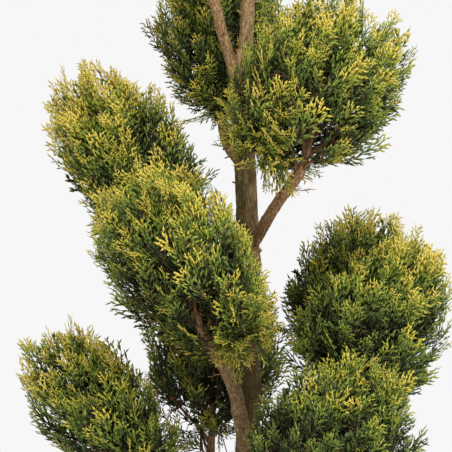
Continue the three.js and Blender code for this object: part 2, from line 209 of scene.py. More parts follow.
def settled(piece: bpy.types.Object) -> bpy.types.Object:
    """Turns an object's modifiers into plain mesh.

    Args:
        piece: The object, whose modifiers are removed.

    Returns:
        The same object, which now holds the result.
    """
    bpy.context.view_layer.update()
    evaluated = piece.evaluated_get(bpy.context.evaluated_depsgraph_get())
    mesh = bpy.data.meshes.new_from_object(evaluated)
    mesh.name = piece.name
    piece.modifiers.clear()
    old = piece.data
    piece.data = mesh
    bpy.data.meshes.remove(old)
    return piece


def smooth(mesh: bpy.types.Mesh) -> None:
    """Shades every face of a mesh smooth."""
    mesh.polygons.foreach_set("use_smooth", [True] * len(mesh.polygons))


def set_attributes(mesh: bpy.types.Mesh, **rows: np.ndarray) -> None:
    """Stores attributes of a mesh's vertices.

    Args:
        mesh: The mesh.
        rows: Under each attribute's name, a number or a vector for each vertex.
    """
    for name, values in rows.items():
        is_vector = values.ndim == 2
        attribute = mesh.attributes.new(name, "FLOAT_VECTOR" if is_vector else "FLOAT", "POINT")
        attribute.data.foreach_set("vector" if is_vector else "value", values.astype(np.float32).ravel())


def places_of(mesh: bpy.types.Mesh) -> np.ndarray:
    """Reads where a mesh's vertices are.

    Args:
        mesh: The mesh.

    Returns:
        One row for each vertex, in millimetres.
    """
    places = np.empty(len(mesh.vertices) * 3, np.float32)
    mesh.vertices.foreach_get("co", places)
    return places.reshape(-1, 3) / METRES


def facing_out(mesh: bpy.types.Mesh) -> bpy.types.Mesh:
    """Merges doubled vertices and turns every face outwards.

    Args:
        mesh: The mesh, which is changed.

    Returns:
        The same mesh.
    """
    work = bmesh.new()
    work.from_mesh(mesh)
    bmesh.ops.remove_doubles(work, verts=work.verts, dist=1e-6)
    bmesh.ops.recalc_face_normals(work, faces=work.faces)
    work.to_mesh(mesh)
    work.free()
    return mesh


# Shapes: places in millimetres and the faces between them


def joined(shapes: Iterable[Shape]) -> Shape:
    """Joins shapes into one.

    Args:
        shapes: The shapes.

    Returns:
        All their places and faces, numbered through.
    """
    places, faces, count = [], [], 0
    for own_places, own_faces in shapes:
        places.append(own_places)
        faces += [[count + corner for corner in face] for face in own_faces]
        count += len(own_places)
    return np.vstack(places), faces


def turns_round(sides: int) -> np.ndarray:
    """The angles of a ring's places."""
    return np.arange(sides) * FULL_TURN / sides


def tube(line: np.ndarray, first: np.ndarray, second: np.ndarray, radius: np.ndarray, sides: int) -> Shape:
    """Makes a closed tube of rings.

    Args:
        line: The rings' middles.
        first: A direction square to the line at each of them.
        second: A direction square to both.
        radius: Rows of the radius at each ring, for one side or for all.
        sides: How many places a ring has.

    Returns:
        The tube.
    """
    turn = turns_round(sides)
    places = (
        line[:, None, :]
        + second[:, None, :] * (radius * np.cos(turn))[..., None]
        + first[:, None, :] * (radius * np.sin(turn))[..., None]
    )
    faces = [list(range(sides))]
    for start in range(0, (len(line) - 1) * sides, sides):
        for side in range(sides):
            after = (side + 1) % sides
            faces.append([start + side, start + sides + side, start + sides + after, start + after])
    last = (len(line) - 1) * sides
    faces.append([last + side for side in reversed(range(sides))])
    return places.reshape(-1, 3), faces


def thin_tubes(lines: Iterable[np.ndarray], radii: Iterable[np.ndarray], sides: int) -> Shape:
    """Makes many thin closed tubes.

    Args:
        lines: The middle of each.
        radii: The radius of each, place by place.
        sides: How many sides each has.

    Returns:
        All of them as one shape.
    """
    shapes = []
    for line, radius in zip(lines, radii):
        along = unit(np.gradient(line, axis=0))
        first = unit(np.cross(along, (0.31, 0.22, 0.92)))
        shapes.append(tube(line, first, np.cross(first, along), radius[:, None], sides))
    return joined(shapes)


def turned(name: str, profile: Sequence[Pair], sides: int) -> bpy.types.Mesh:
    """Turns a profile round Z into a closed mesh.

    Args:
        name: The mesh's name.
        profile: Radius and height of each ring. Its first and last ring are closed by a fan.
        sides: How many sides it has.

    Returns:
        The mesh.
    """
    turn = turns_round(sides)
    rings = [np.column_stack([r * np.cos(turn), r * np.sin(turn), np.full(sides, z)]) for r, z in profile]
    ends = np.array([[0, 0, profile[0][1]], [0, 0, profile[-1][1]]])
    first, last_ring = len(profile) * sides, (len(profile) - 1) * sides
    faces = []
    for start in range(0, last_ring, sides):
        for side in range(sides):
            after = (side + 1) % sides
            faces.append([start + side, start + after, start + sides + after, start + sides + side])
    for side in range(sides):
        after = (side + 1) % sides
        faces += [[first, after, side], [first + 1, last_ring + side, last_ring + after]]
    return facing_out(new_mesh(name, np.vstack([*rings, ends]), faces))


# Node graphs


@dataclass
class NodeGraph:
    """A node tree with short calls to add and join nodes. What feeds a node is a socket or a plain value."""

    tree: bpy.types.NodeTree

    def add(self, kind: str, feeds: dict | None = None, **settings: object) -> bpy.types.Node:
        """Adds a node.

        Args:
            kind: The node's type.
            feeds: What feeds its inputs, under their names or numbers.
            settings: Its properties.

        Returns:
            The node.
        """
        node = self.tree.nodes.new(kind)
        for name, value in settings.items():
            setattr(node, name, value)
        self.feed(node, feeds or {})
        return node

    def feed(self, node: bpy.types.Node, feeds: dict) -> None:
        """Joins or sets inputs of a node.

        Args:
            node: The node.
            feeds: What feeds its inputs, under their names or numbers.
        """
        for key, value in feeds.items():
            if isinstance(value, Socket):
                self.tree.links.new(value, node.inputs[key])
            else:
                node.inputs[key].default_value = value

    def maths(self, operation: str, first: object, second: object, clamp: bool = False) -> Socket:
        """The result of a maths node."""
        node = self.add("ShaderNodeMath", {0: first, 1: second}, operation=operation, use_clamp=clamp)
        return node.outputs[0]

    def plus(self, first: object, second: object) -> Socket:
        """The sum of two values."""
        return self.maths("ADD", first, second)

    def minus(self, first: object, second: object) -> Socket:
        """The first value less the second."""
        return self.maths("SUBTRACT", first, second)

    def times(self, first: object, second: object, clamp: bool = False) -> Socket:
        """The product of two values, held between 0 and 1 where that is asked."""
        return self.maths("MULTIPLY", first, second, clamp)

    def part(self, vector: Socket, axis: str) -> Socket:
        """One coordinate of a vector."""
        return self.add("ShaderNodeSeparateXYZ", {0: vector}).outputs[axis]

    def stretched(self, place: Socket, scale: Triple) -> Socket:
        """A place, scaled along each axis."""
        return self.add("ShaderNodeMapping", {"Vector": place, "Scale": scale}).outputs["Vector"]

    def noise(self, place: Socket, scale: float, detail: float, roughness: float) -> Socket:
        """The value of a noise texture."""
        feeds = {"Vector": place, "Scale": scale, "Detail": detail, "Roughness": roughness}
        return self.add("ShaderNodeTexNoise", feeds).outputs[0]

    def spread(self, value: Socket, low: float, high: float) -> Socket:
        """A value's range from low to high as 0 to 1, held within it."""
        feeds = {"Value": value, "From Min": low, "From Max": high}
        return self.add("ShaderNodeMapRange", feeds, clamp=True).outputs["Result"]

    def blend(self, share: Socket, first: object, second: object) -> Socket:
        """Two colours mixed. They feed inputs 6 and 7 of the node."""
        return self.add("ShaderNodeMix", {0: share, 6: first, 7: second}, data_type="RGBA").outputs[2]


@dataclass
class GeometryTree:
    """A Geometry Nodes tree with named inputs, which ends in Realize Instances and Set Material."""

    name: str
    values: dict[str, object] = field(default_factory=dict)
    graph: NodeGraph = field(init=False)
    source: bpy.types.Node = field(init=False)

    def __post_init__(self) -> None:
        """Makes the empty tree with its geometry input and output."""
        tree = bpy.data.node_groups.new(self.name, "GeometryNodeTree")
        for side in ("INPUT", "OUTPUT"):
            tree.interface.new_socket(name="Geometry", in_out=side, socket_type="NodeSocketGeometry")
        self.graph = NodeGraph(tree)
        self.source = self.graph.add("NodeGroupInput")

    def input(self, name: str, kind: str, value: object) -> Socket:
        """Adds a named input.

        Args:
            name: The input's name.
            kind: The end of its socket's type.
            value: Its value.

        Returns:
            The socket that gives the value inside the tree.
        """
        sockets = self.graph.tree.interface
        made = sockets.new_socket(name=name, in_out="INPUT", socket_type=f"NodeSocket{kind}")
        self.values[made.identifier] = value
        return self.source.outputs[name]

    def attribute(self, name: str, kind: str = "FLOAT") -> Socket:
        """The socket of a named attribute."""
        node = self.graph.add("GeometryNodeInputNamedAttribute", {"Name": name}, data_type=kind)
        return node.outputs["Attribute"]

    def random(self, low: float, high: float, seed: Socket, step: int) -> Socket:
        """A random number for each point, from the tree's seed plus a step of its own."""
        feeds = {2: low, 3: high, "Seed": self.graph.plus(seed, float(step))}
        return self.graph.add("FunctionNodeRandomValue", feeds, data_type="FLOAT").outputs[1]

    def painted(self, geometry: Socket, name: str, finish: "Finish", **selection: Socket) -> Socket:
        """Sets a material from an input of its own.

        Args:
            geometry: What is painted.
            name: The input's name.
            finish: The finish.
            selection: Which faces take it, or nothing for all.

        Returns:
            The painted geometry.
        """
        material = self.input(name, "Material", finish.material())
        feeds = {"Geometry": geometry, "Material": material, **selection}
        return self.graph.add("GeometryNodeSetMaterial", feeds).outputs[0]

    def run_on(self, piece: bpy.types.Object, result: Socket) -> bpy.types.Object:
        """Closes the tree and runs it on an object.

        Args:
            piece: The object.
            result: The socket that goes to the tree's output.

        Returns:
            The object, with the result as plain mesh.
        """
        self.graph.add("NodeGroupOutput", {"Geometry": result})
        modifier = piece.modifiers.new(self.name, "NODES")
        modifier.node_group = self.graph.tree
        for identifier, value in self.values.items():
            modifier[identifier] = value
        return settled(piece)


@dataclass
class Scatter:
    """Copies of a few small meshes, set on points by Geometry Nodes and coloured by shade.

    Each point has the attributes heading (a copy's own Z), broad (what its flat side is turned to), size (in
    metres), shade (0 to 1) and first (the number of the first kind of its family). A small mesh is 1 metre
    long and has the attribute step, which shifts the shade of its parts. The tints go from dark to light.
    """

    name: str
    points: bpy.types.Mesh
    kinds: Sequence[bpy.types.Mesh]
    family: int
    tints: Sequence["Finish"]
    seed: int
    swing: float = math.pi
    shares: Pair = (0.82, 1.16)

    def library(self) -> bpy.types.Collection:
        """Puts the small meshes in a collection of their own.

        Returns:
            The collection.
        """
        library = bpy.data.collections.new(f"{self.name}_kinds")
        for number, kind in enumerate(self.kinds):
            kind.materials.clear()
            kind.materials.append(self.tints[0].material())
            library.objects.link(bpy.data.objects.new(f"{self.name}_kind_{number}", kind))
        return library

    def rotation(self, tree: GeometryTree, seed: Socket) -> Socket:
        """Turns each copy to its heading and its broad side, and rolls it a little.

        Args:
            tree: The tree.
            seed: The socket of its seed.

        Returns:
            The socket of the rotation.
        """
        graph = tree.graph
        heading, broad = (tree.attribute(name, "FLOAT_VECTOR") for name in ("heading", "broad"))
        kind = "FunctionNodeAlignRotationToVector"
        aim = graph.add(kind, {"Vector": heading}, axis="Z").outputs[0]
        flat = graph.add(kind, {"Rotation": aim, "Vector": broad}, axis="Y", pivot_axis="Z").outputs[0]
        rolling = {"Axis": (0, 0, 1), "Angle": tree.random(-self.swing, self.swing, seed, 1)}
        roll = graph.add("FunctionNodeAxisAngleToRotation", rolling).outputs[0]
        feeds = {"Rotation": flat, "Rotate By": roll}
        return graph.add("FunctionNodeRotateRotation", feeds, rotation_space="LOCAL").outputs[0]

    def build(self) -> bpy.types.Object:
        """Scatters the copies.

        Returns:
            The object, with the copies as plain mesh.
        """
        library = self.library()
        tree = GeometryTree(f"{self.name}_scatter")
        graph = tree.graph
        chosen = tree.input("Kinds", "Collection", library)
        seed = tree.input("Seed", "Int", self.seed)
        ends = zip(("Smallest share", "Largest share"), self.shares)
        least, most = (tree.input(end, "Float", value) for end, value in ends)
        share = graph.plus(least, graph.times(graph.minus(most, least), tree.random(0, 1, seed, 2)))
        picked = graph.maths("FLOOR", tree.random(0, self.family - 0.001, seed, 3), 0.0)
        kinds = {"Collection": chosen, "Separate Children": True, "Reset Children": True}
        copies = graph.add("GeometryNodeInstanceOnPoints", {
            "Points": tree.source.outputs["Geometry"],
            "Instance": graph.add("GeometryNodeCollectionInfo", kinds).outputs[0],
            "Pick Instance": True,
            "Instance Index": graph.plus(picked, tree.attribute("first")),
            "Rotation": self.rotation(tree, seed),
            "Scale": graph.times(tree.attribute("size"), share),
        })
        result = graph.add("GeometryNodeRealizeInstances", {"Geometry": copies.outputs[0]}).outputs[0]
        tint = graph.plus(tree.attribute("shade"), tree.attribute("step"))
        result = tree.painted(result, "Material 0", self.tints[0])
        for number, finish in enumerate(self.tints[1:], 1):
            compared = {0: tint, 1: number / len(self.tints)}
            lighter = graph.add("FunctionNodeCompare", compared, data_type="FLOAT", operation="GREATER_THAN")
            result = tree.painted(result, f"Material {number}", finish, Selection=lighter.outputs[0])
        piece = tree.run_on(shown(self.name, self.points), result)
        for stored in ("heading", "broad", "size", "shade", "step", "first"):
            if stored in piece.data.attributes:
                piece.data.attributes.remove(piece.data.attributes[stored])
        smooth(piece.data)
        for kind in list(library.objects):
            bpy.data.objects.remove(kind)
        bpy.data.collections.remove(library)
        return piece


# Finishes. A noise is its scale, detail and roughness. Edges are the values between which a mark fades in.


class Finish:
    """A material of this plant. Each finish makes its material once."""

    def material(self) -> bpy.types.Material:
        """Gives the finish's material, which is made at the first call.

        Returns:
            The material.
        """
        made = bpy.data.materials.get(self.name)
        if made is None:
            made = bpy.data.materials.new(self.name)
            made.use_nodes = True
            graph = NodeGraph(made.node_tree)
            graph.feed(made.node_tree.nodes["Principled BSDF"], self.paint(graph))
        return made

    def paint(self, graph: NodeGraph) -> dict:
        """What feeds the shader's inputs. Each kind of finish has its own."""
        raise NotImplementedError

    def object_place(self, graph: NodeGraph) -> Socket:
        """The socket of object coordinates."""
        return graph.add("ShaderNodeTexCoord").outputs["Object"]

    def relief(self, graph: NodeGraph, height: Socket, depth: float) -> Socket:
        """The normal of a bump, where the height's range of 0 to 1 stands for `depth` millimetres."""
        feeds = {"Height": height, "Strength": 1.0, "Distance": depth * METRES}
        return graph.add("ShaderNodeBump", feeds).outputs["Normal"]


@dataclass(frozen=True)
class PlainTint(Finish):
    """One plain colour: of small leaves and crumbs, dealt out by spray, and of the floor."""

    name: str
    shade: Colour
    roughness: float = 0.62
    gloss: float = 0.3

    def paint(self, graph: NodeGraph) -> dict:
        """One colour with a soft gloss."""
        return {"Base Color": self.shade, "Roughness": self.roughness, "Specular IOR Level": self.gloss}


@dataclass(frozen=True)
class Bark(Finish):
    """Bark that follows each limb: fibrous, grey-brown with moss on thick wood, red and flecked on thin.

    The share of a mark is given for old wood, with what is added to it for young. On thick wood the moss
    gathers on one side, partly as painted shade there, and the wood is darker towards the bottom, which is
    painted shade.
    """

    name: str = "fibrous_bark"
    grey: Colour = colour(150, 129, 91)
    brown: Colour = colour(98, 70, 38)
    red: Colour = colour(140, 96, 62)
    pale: Colour = colour(204, 180, 138)
    moss: Colour = colour(84, 78, 36)
    crack: Colour = colour(50, 36, 20)
    # The colour of the painted shade low on the thick wood.
    painted_low_shade: Colour = colour(66, 50, 24)
    patch_noise: Triple = (0.8, 5, 0.65)
    patch_edges: Pair = (0.42, 0.58)
    red_share: Pair = (1.3, 0.0)
    fibre_noise: Triple = (4.5, 5, 0.7)
    fibre_scale: Triple = (1.0, 1.0, 0.3)
    crack_edges: Pair = (0.52, 0.38)
    crack_share: Pair = (0.45, 0.0)
    ridge_edges: Pair = (0.52, 0.68)
    ridge_share: Pair = (0.4, 0.0)
    moss_noise: Triple = (1.4, 5, 0.65)
    moss_edges: Pair = (0.48, 0.6)
    moss_share: Pair = (0.75, -0.5)
    # Moss leans to one side: partly the bark's own moss, partly painted shade on that side.
    moss_and_shade_side: float = 0.06
    # Painted shade low on the thick wood fades in from the first height down to the second.
    unshaded_above: float = 800.0
    full_shade_below: float = 660.0
    low_shade_share: Pair = (0.8, -1.3)
    speck_noise: Triple = (5.0, 4, 0.7)
    fleck_edges: Pair = (0.5, 0.62)
    fleck_share: Pair = (0.104, 0.546)
    pit_edges: Pair = (0.46, 0.36)
    pit_share: Pair = (0.55, 0.0)
    relief_depth: float = 0.9

    def paint(self, graph: NodeGraph) -> dict:
        """Paints patches and fibres, moss on thick wood that gathers on one side partly as painted shade,
        painted shade low down on thick wood, and pale flecks on thin.

        Args:
            graph: The material's graph.

        Returns:
            What feeds the shader.
        """
        grain = graph.add("ShaderNodeAttribute", attribute_name="grain").outputs["Vector"]
        young = graph.add("ShaderNodeAttribute", attribute_name="young").outputs["Fac"]
        fibres = graph.noise(graph.stretched(grain, self.fibre_scale), *self.fibre_noise)
        specks = graph.noise(grain, *self.speck_noise)
        patches = graph.spread(graph.noise(grain, *self.patch_noise), *self.patch_edges)
        # Moss gathers towards one side of each limb, on the trunk its left: partly the bark's own moss,
        # partly painted shade on that side.
        shade_side_lean = graph.times(graph.part(grain, "X"), self.moss_and_shade_side)
        moss_and_shade = graph.spread(graph.minus(graph.noise(grain, *self.moss_noise), shade_side_lean), *self.moss_edges)
        # Painted shade: thick wood is darker towards the bottom, standing in for the shadow the heads cast
        # on the lower trunk.
        height = graph.part(self.object_place(graph), "Z")
        painted_low_shade = graph.spread(height, self.unshaded_above * METRES, self.full_shade_below * METRES)
        wood = graph.blend(patches, self.brown, self.grey)
        for mark, (on_old, on_young), tint in (
            (young, self.red_share, self.red),
            (graph.spread(fibres, *self.crack_edges), self.crack_share, self.crack),
            (graph.spread(fibres, *self.ridge_edges), self.ridge_share, self.pale),
            (moss_and_shade, self.moss_share, self.moss),
            (painted_low_shade, self.low_shade_share, self.painted_low_shade),
            (graph.spread(specks, *self.fleck_edges), self.fleck_share, self.pale),
            (graph.spread(specks, *self.pit_edges), self.pit_share, self.crack),
        ):
            share = graph.plus(on_old, graph.times(young, on_young))
            wood = graph.blend(graph.times(mark, share, True), wood, tint)
        rise = graph.plus(graph.times(fibres, 0.6), graph.times(specks, 0.5))
        return {
            "Base Color": wood,
            "Roughness": graph.minus(0.95, graph.times(fibres, 0.2)),
            "Specular IOR Level": 0.25,
            "Normal": self.relief(graph, rise, self.relief_depth),
        }


@dataclass(frozen=True)
class TwigBark(Finish):
    """Thin reddish-brown twigs, with nothing finer than a pixel on them."""

    name: str = "twig_bark"
    red: Colour = colour(152, 106, 72)
    brown: Colour = colour(108, 80, 54)
    length_noise: Triple = (70.0, 2, 0.55)
    length_edges: Pair = (0.4, 0.6)

    def paint(self, graph: NodeGraph) -> dict:
        """Paints red and brown lengths.

        Args:
            graph: The material's graph.

        Returns:
            What feeds the shader.
        """
        share = graph.spread(graph.noise(self.object_place(graph), *self.length_noise), *self.length_edges)
        wood = graph.blend(share, self.brown, self.red)
        return {"Base Color": wood, "Roughness": 0.8, "Specular IOR Level": 0.25}


@dataclass(frozen=True)
class MouldedPlastic(Finish):
    """Dark moulded plastic with a fine grain, scuffs and a little soil dust near its foot."""

    name: str = "moulded_plastic"
    dark: Colour = colour(44, 46, 47)
    worn: Colour = colour(66, 67, 66)
    dust: Colour = colour(104, 92, 78)
    scuff_noise: Triple = (14.0, 6, 0.65)
    scuff_scale: Triple = (1, 1, 5)
    scuff_edges: Pair = (0.5, 0.72)
    scuff_share: float = 0.7
    dust_noise: Triple = (22.0, 5, 0.55)
    dust_height: float = 70.0
    dust_edges: Pair = (0.4, 0.7)
    dust_share: float = 0.55
    relief_noise: Triple = (900.0, 2, 0.55)
    relief_depth: float = 0.12

    def paint(self, graph: NodeGraph) -> dict:
        """Paints worn streaks, dust low down, and a moulded grain.

        Args:
            graph: The material's graph.

        Returns:
            What feeds the shader.
        """
        place = self.object_place(graph)
        scuffs = graph.noise(graph.stretched(place, self.scuff_scale), *self.scuff_noise)
        scuffs = graph.spread(scuffs, *self.scuff_edges)
        body = graph.blend(graph.times(scuffs, self.scuff_share), self.dark, self.worn)
        low = graph.spread(graph.part(place, "Z"), self.dust_height * METRES, 0.0)
        dusty = graph.times(low, graph.spread(graph.noise(place, *self.dust_noise), *self.dust_edges))
        return {
            "Base Color": graph.blend(graph.times(dusty, self.dust_share), body, self.dust),
            "Roughness": graph.plus(0.42, graph.times(scuffs, 0.2)),
            "Normal": self.relief(graph, graph.noise(place, *self.relief_noise), self.relief_depth),
        }


@dataclass(frozen=True)
class PottingSoil(Finish):
    """Dark crumbly soil, with paler fibres."""

    name: str = "potting_soil"
    dark: Colour = colour(42, 31, 24)
    brown: Colour = colour(74, 55, 41)
    fibre: Colour = colour(122, 96, 70)
    damp_noise: Triple = (60.0, 6, 0.7)
    damp_edges: Pair = (0.38, 0.66)
    fibre_noise: Triple = (420.0, 2, 0.55)
    fibre_edges: Pair = (0.66, 0.74)
    fibre_share: float = 0.6
    relief_noise: Triple = (260.0, 6, 0.7)
    relief_depth: float = 1.2

    def paint(self, graph: NodeGraph) -> dict:
        """Paints moist and dry patches with fibres in them.

        Args:
            graph: The material's graph.

        Returns:
            What feeds the shader.
        """
        place = self.object_place(graph)
        dry = graph.spread(graph.noise(place, *self.damp_noise), *self.damp_edges)
        fibres = graph.spread(graph.noise(place, *self.fibre_noise), *self.fibre_edges)
        body = graph.blend(dry, self.dark, self.brown)
        return {
            "Base Color": graph.blend(graph.times(fibres, self.fibre_share), body, self.fibre),
            "Roughness": 0.95,
            "Specular IOR Level": 0.2,
            "Normal": self.relief(graph, graph.noise(place, *self.relief_noise), self.relief_depth),
        }


# Leaf tints from dark to light. The darkest are for leaves deep in the heads: partly their own deep green,
# partly painted shade there.
LEAF_TINTS = (
    PlainTint("leaf_inner", colour(50, 53, 30), 0.8, 0.15),
    PlainTint("leaf_deep", colour(63, 75, 32)),
    PlainTint("leaf_dark", colour(82, 97, 40)),
    PlainTint("leaf_green", colour(103, 118, 45)),
    PlainTint("leaf_bright", colour(123, 139, 49)),
    PlainTint("leaf_lime", colour(151, 157, 55)),
    PlainTint("leaf_golden", colour(188, 175, 60)),
    PlainTint("leaf_pale_tip", colour(212, 192, 84)),
)
CRUMB_TINTS = (
    PlainTint("crumb_dark", colour(38, 28, 21), 0.95, 0.15),
    PlainTint("crumb_brown", colour(62, 45, 33), 0.95, 0.15),
    PlainTint("crumb_red", colour(92, 64, 44), 0.9, 0.2),
    PlainTint("crumb_pale", colour(124, 98, 74), 0.9, 0.2),
)
PALE_FLOOR = PlainTint("pale_floor", colour(232, 232, 232), 0.9, 0.5)


# Limbs

CURVE_SAMPLES = 40
ARCH_SAMPLES = 120


@dataclass(frozen=True)
class RootFlare:
    """How the trunk swells in lobes at the soil."""

    reach: float = 13.0
    height: float = 34.0
    count: int = 5
    unevenness: float = 0.35
    first_turn: float = 0.6

    def swell(self, above: np.ndarray, turn: np.ndarray) -> np.ndarray:
        """What the flare adds to the radius, at a height above the soil and an angle round the trunk."""
        lobes = 1 + self.unevenness * np.cos(self.count * turn + self.first_turn)
        return self.reach * lobes * np.exp(-above / self.height)


@dataclass(frozen=True)
class Limb:
    """A tapering limb: places along its middle and its radius at each. The last may lie in its head."""

    name: str
    line: np.ndarray
    radii: np.ndarray
    across: np.ndarray
    places_in_head: int = 0
    flare: RootFlare | None = None

    def point_at_height(self, height: float) -> np.ndarray:
        """The place on the limb's line at a height."""
        return np.array([np.interp(height, self.line[:, 2], self.line[:, axis]) for axis in range(3)])

    def bearings(self) -> tuple[np.ndarray, np.ndarray, np.ndarray]:
        """Finds the limb's own directions.

        Returns:
            At each place, the direction along the limb and two that are square to it.
        """
        along = unit(np.gradient(self.line, axis=0))
        first = unit(self.across - along * (along @ self.across)[:, None])
        return along, first, np.cross(first, along)

    def bare_places(self) -> int:
        """How many of the line's places lie outside a head."""
        return len(self.line) - self.places_in_head


def evenly(line: np.ndarray, steps: int) -> np.ndarray:
    """Deals out a line's places anew.

    Args:
        line: The line.
        steps: How many steps the result has.

    Returns:
        The same line at equal steps of length.
    """
    known = travelled(line)
    wanted = np.linspace(0, known[-1], steps + 1)
    return np.column_stack([np.interp(wanted, known, line[:, axis]) for axis in range(3)])


def curved_line(places: Sequence[Sequence[float]], steps: int) -> np.ndarray:
    """Draws a smooth line through places, centripetal, as the part's limbs have.

    Args:
        places: The places, in order.
        steps: How many steps the whole line has.

    Returns:
        Places at equal steps of length, one more than the steps.
    """
    known = np.array(places, float)
    ends = np.vstack([2 * known[0] - known[1], known, 2 * known[-1] - known[-2]])
    share = np.linspace(0, 1, CURVE_SAMPLES)[:, None]
    parts = []
    for before, start, end, after in zip(ends, ends[1:], ends[2:], ends[3:]):
        pairs = ((before, start), (start, end), (end, after))
        first, middle, last = (max(np.linalg.norm(b - a) ** 0.5, 1e-4) for a, b in pairs)
        out = (start - before) / first - (end - before) / (first + middle) + (end - start) / middle
        into = (end - start) / middle - (after - start) / (middle + last) + (after - end) / last
        out, into = out * middle, into * middle
        cubic = 2 * start - 2 * end + out + into
        square = -3 * start + 3 * end - 2 * out - into
        parts.append(start + out * share + square * share**2 + cubic * share**3)
    return evenly(np.vstack(parts), steps)


def arched_line(corners: Sequence[np.ndarray], steps: int) -> np.ndarray:
    """Draws a cubic curve.

    Args:
        corners: Its four corners.
        steps: How many steps it has.

    Returns:
        Places at equal steps of length, one more than the steps.
    """
    share = np.linspace(0, 1, ARCH_SAMPLES)[:, None]
    weights = [(1 - share) ** 3, 3 * (1 - share) ** 2 * share, 3 * (1 - share) * share**2, share**3]
    return evenly(sum(weight * corner for weight, corner in zip(weights, corners)), steps)


def bent_line(start: np.ndarray, bend: np.ndarray, end: np.ndarray, places: int) -> np.ndarray:
    """A curve from start to end, drawn towards bend."""
    share = np.linspace(0, 1, places)[:, None]
    return (1 - share) ** 2 * start + 2 * share * (1 - share) * bend + share**2 * end


# Heads


@dataclass(frozen=True)
class Head:
    """One clipped head of foliage and the bough that carries it.

    The values from its golden tone to low_sprays are for its looks. The tone makes the whole head lighter or
    darker:
    partly the head's own golden colour, partly painted light and shade on the head as a whole. The next
    value is
    painted light and shade: it makes the sprays lighter on the side it points to and darker on the far side.
    Below the share bare_foot few sprays are kept, and nothing hides the share open_stem of its stem. The
    rest are the part's own. Its lumps have waves round it and up it.
    """

    name: str
    index: int
    foot: Triple
    base: Triple
    top: Triple
    radius: float
    widest: float
    fullness: float
    carrier: Carrier = Carrier.TRUNK
    height: float | None = None
    rise: float = 0.6
    thick: float = 9.5
    thin: float = 7.0
    # Its own golden tone, and painted light and shade on the whole head.
    gold_light_and_shade: float = 0.0
    # Painted light and shade: sprays facing this way are lighter, those facing away darker.
    painted_light_side: Triple = (0.0, 0.0, 0.0)
    fill: float = 1.0
    skirt: float = 1.0
    bare_foot: float = 0.0
    open_stem: float = 0.0
    low_sprays: int = 0
    heart_share: float = 0.56
    stem_bend: float = 0.12
    stem_reach: float = 0.8
    lump: float = 0.06
    lump_waves: tuple[int, int] = (3, 5)
    lump_shift: float = 1.7

    @property
    def axis(self) -> np.ndarray:
        """The direction from base to top."""
        return unit(np.subtract(self.top, self.base))

    @property
    def length(self) -> float:
        """The way from base to top."""
        return float(np.linalg.norm(np.subtract(self.top, self.base)))

    @property
    def sides(self) -> tuple[np.ndarray, np.ndarray]:
        """Two directions square to the axis."""
        side = unit(np.cross(self.axis, (0.0, 1.0, 0.0)))
        return side, np.cross(self.axis, side)

    @property
    def heart(self) -> np.ndarray:
        """The middle that the foliage is measured from."""
        return self.along(self.heart_share)

    def along(self, share: float) -> np.ndarray:
        """The place on the axis a share of the way up."""
        return np.array(self.base) + self.axis * (share * self.length)

    def stem(self, steps: int) -> np.ndarray:
        """Draws the stem inside the head: on from the bough's tip and over towards the heart.

        Args:
            steps: How many steps it has.

        Returns:
            Its places, one more than the steps.
        """
        foot = np.array(self.foot, float)
        bend = foot + self.axis * (self.stem_bend * self.length)
        return bent_line(foot, bend, foot + (self.heart - foot) * self.stem_reach, steps + 1)

    def swell(self, share: np.ndarray, turn: np.ndarray) -> np.ndarray:
        """Works out how far the outline stands off the axis.

        Args:
            share: How far up the axis.
            turn: The angle round it.

        Returns:
            The distance at each place.
        """
        bounded = np.clip(share, 0, 1)
        around, up = self.lump_waves
        waves = np.sin(around * turn + self.lump_shift * self.index) * np.sin(up * bounded + self.index)
        lump = 1 + self.lump * waves
        lift = math.log(0.5) / math.log(self.widest)
        return self.radius * lump * np.abs(np.sin(math.pi * bounded**lift)) ** self.fullness

    def places(self, share: np.ndarray, turn: np.ndarray, ratio: np.ndarray | float) -> np.ndarray:
        """Finds places in the head.

        Args:
            share: How far up the axis, from 0 at the base.
            turn: The angle round the axis.
            ratio: 0 at the head's heart and 1 on its outline.

        Returns:
            One row for each place.
        """
        side, across = self.sides
        swell = self.swell(share, turn)
        rim = (
            np.array(self.base)
            + np.outer(share * self.length, self.axis)
            + np.outer(swell * np.cos(turn), side)
            + np.outer(swell * np.sin(turn), across)
        )
        return self.heart + (rim - self.heart) * np.broadcast_to(ratio, share.shape)[:, None]

    def holds(self, points: np.ndarray, room: float) -> np.ndarray:
        """Tests which points lie in the head.

        Args:
            points: The points.
            room: What the head's outline is grown by, 1 for the outline itself.

        Returns:
            True for each point inside.
        """
        side, across = self.sides
        offset = self.heart + (points - self.heart) / room - np.array(self.base)
        share = offset @ self.axis / self.length
        x, y = offset @ side, offset @ across
        inside = np.hypot(x, y) < self.swell(share, np.arctan2(y, x))
        return inside & (share > 0) & (share < 1)
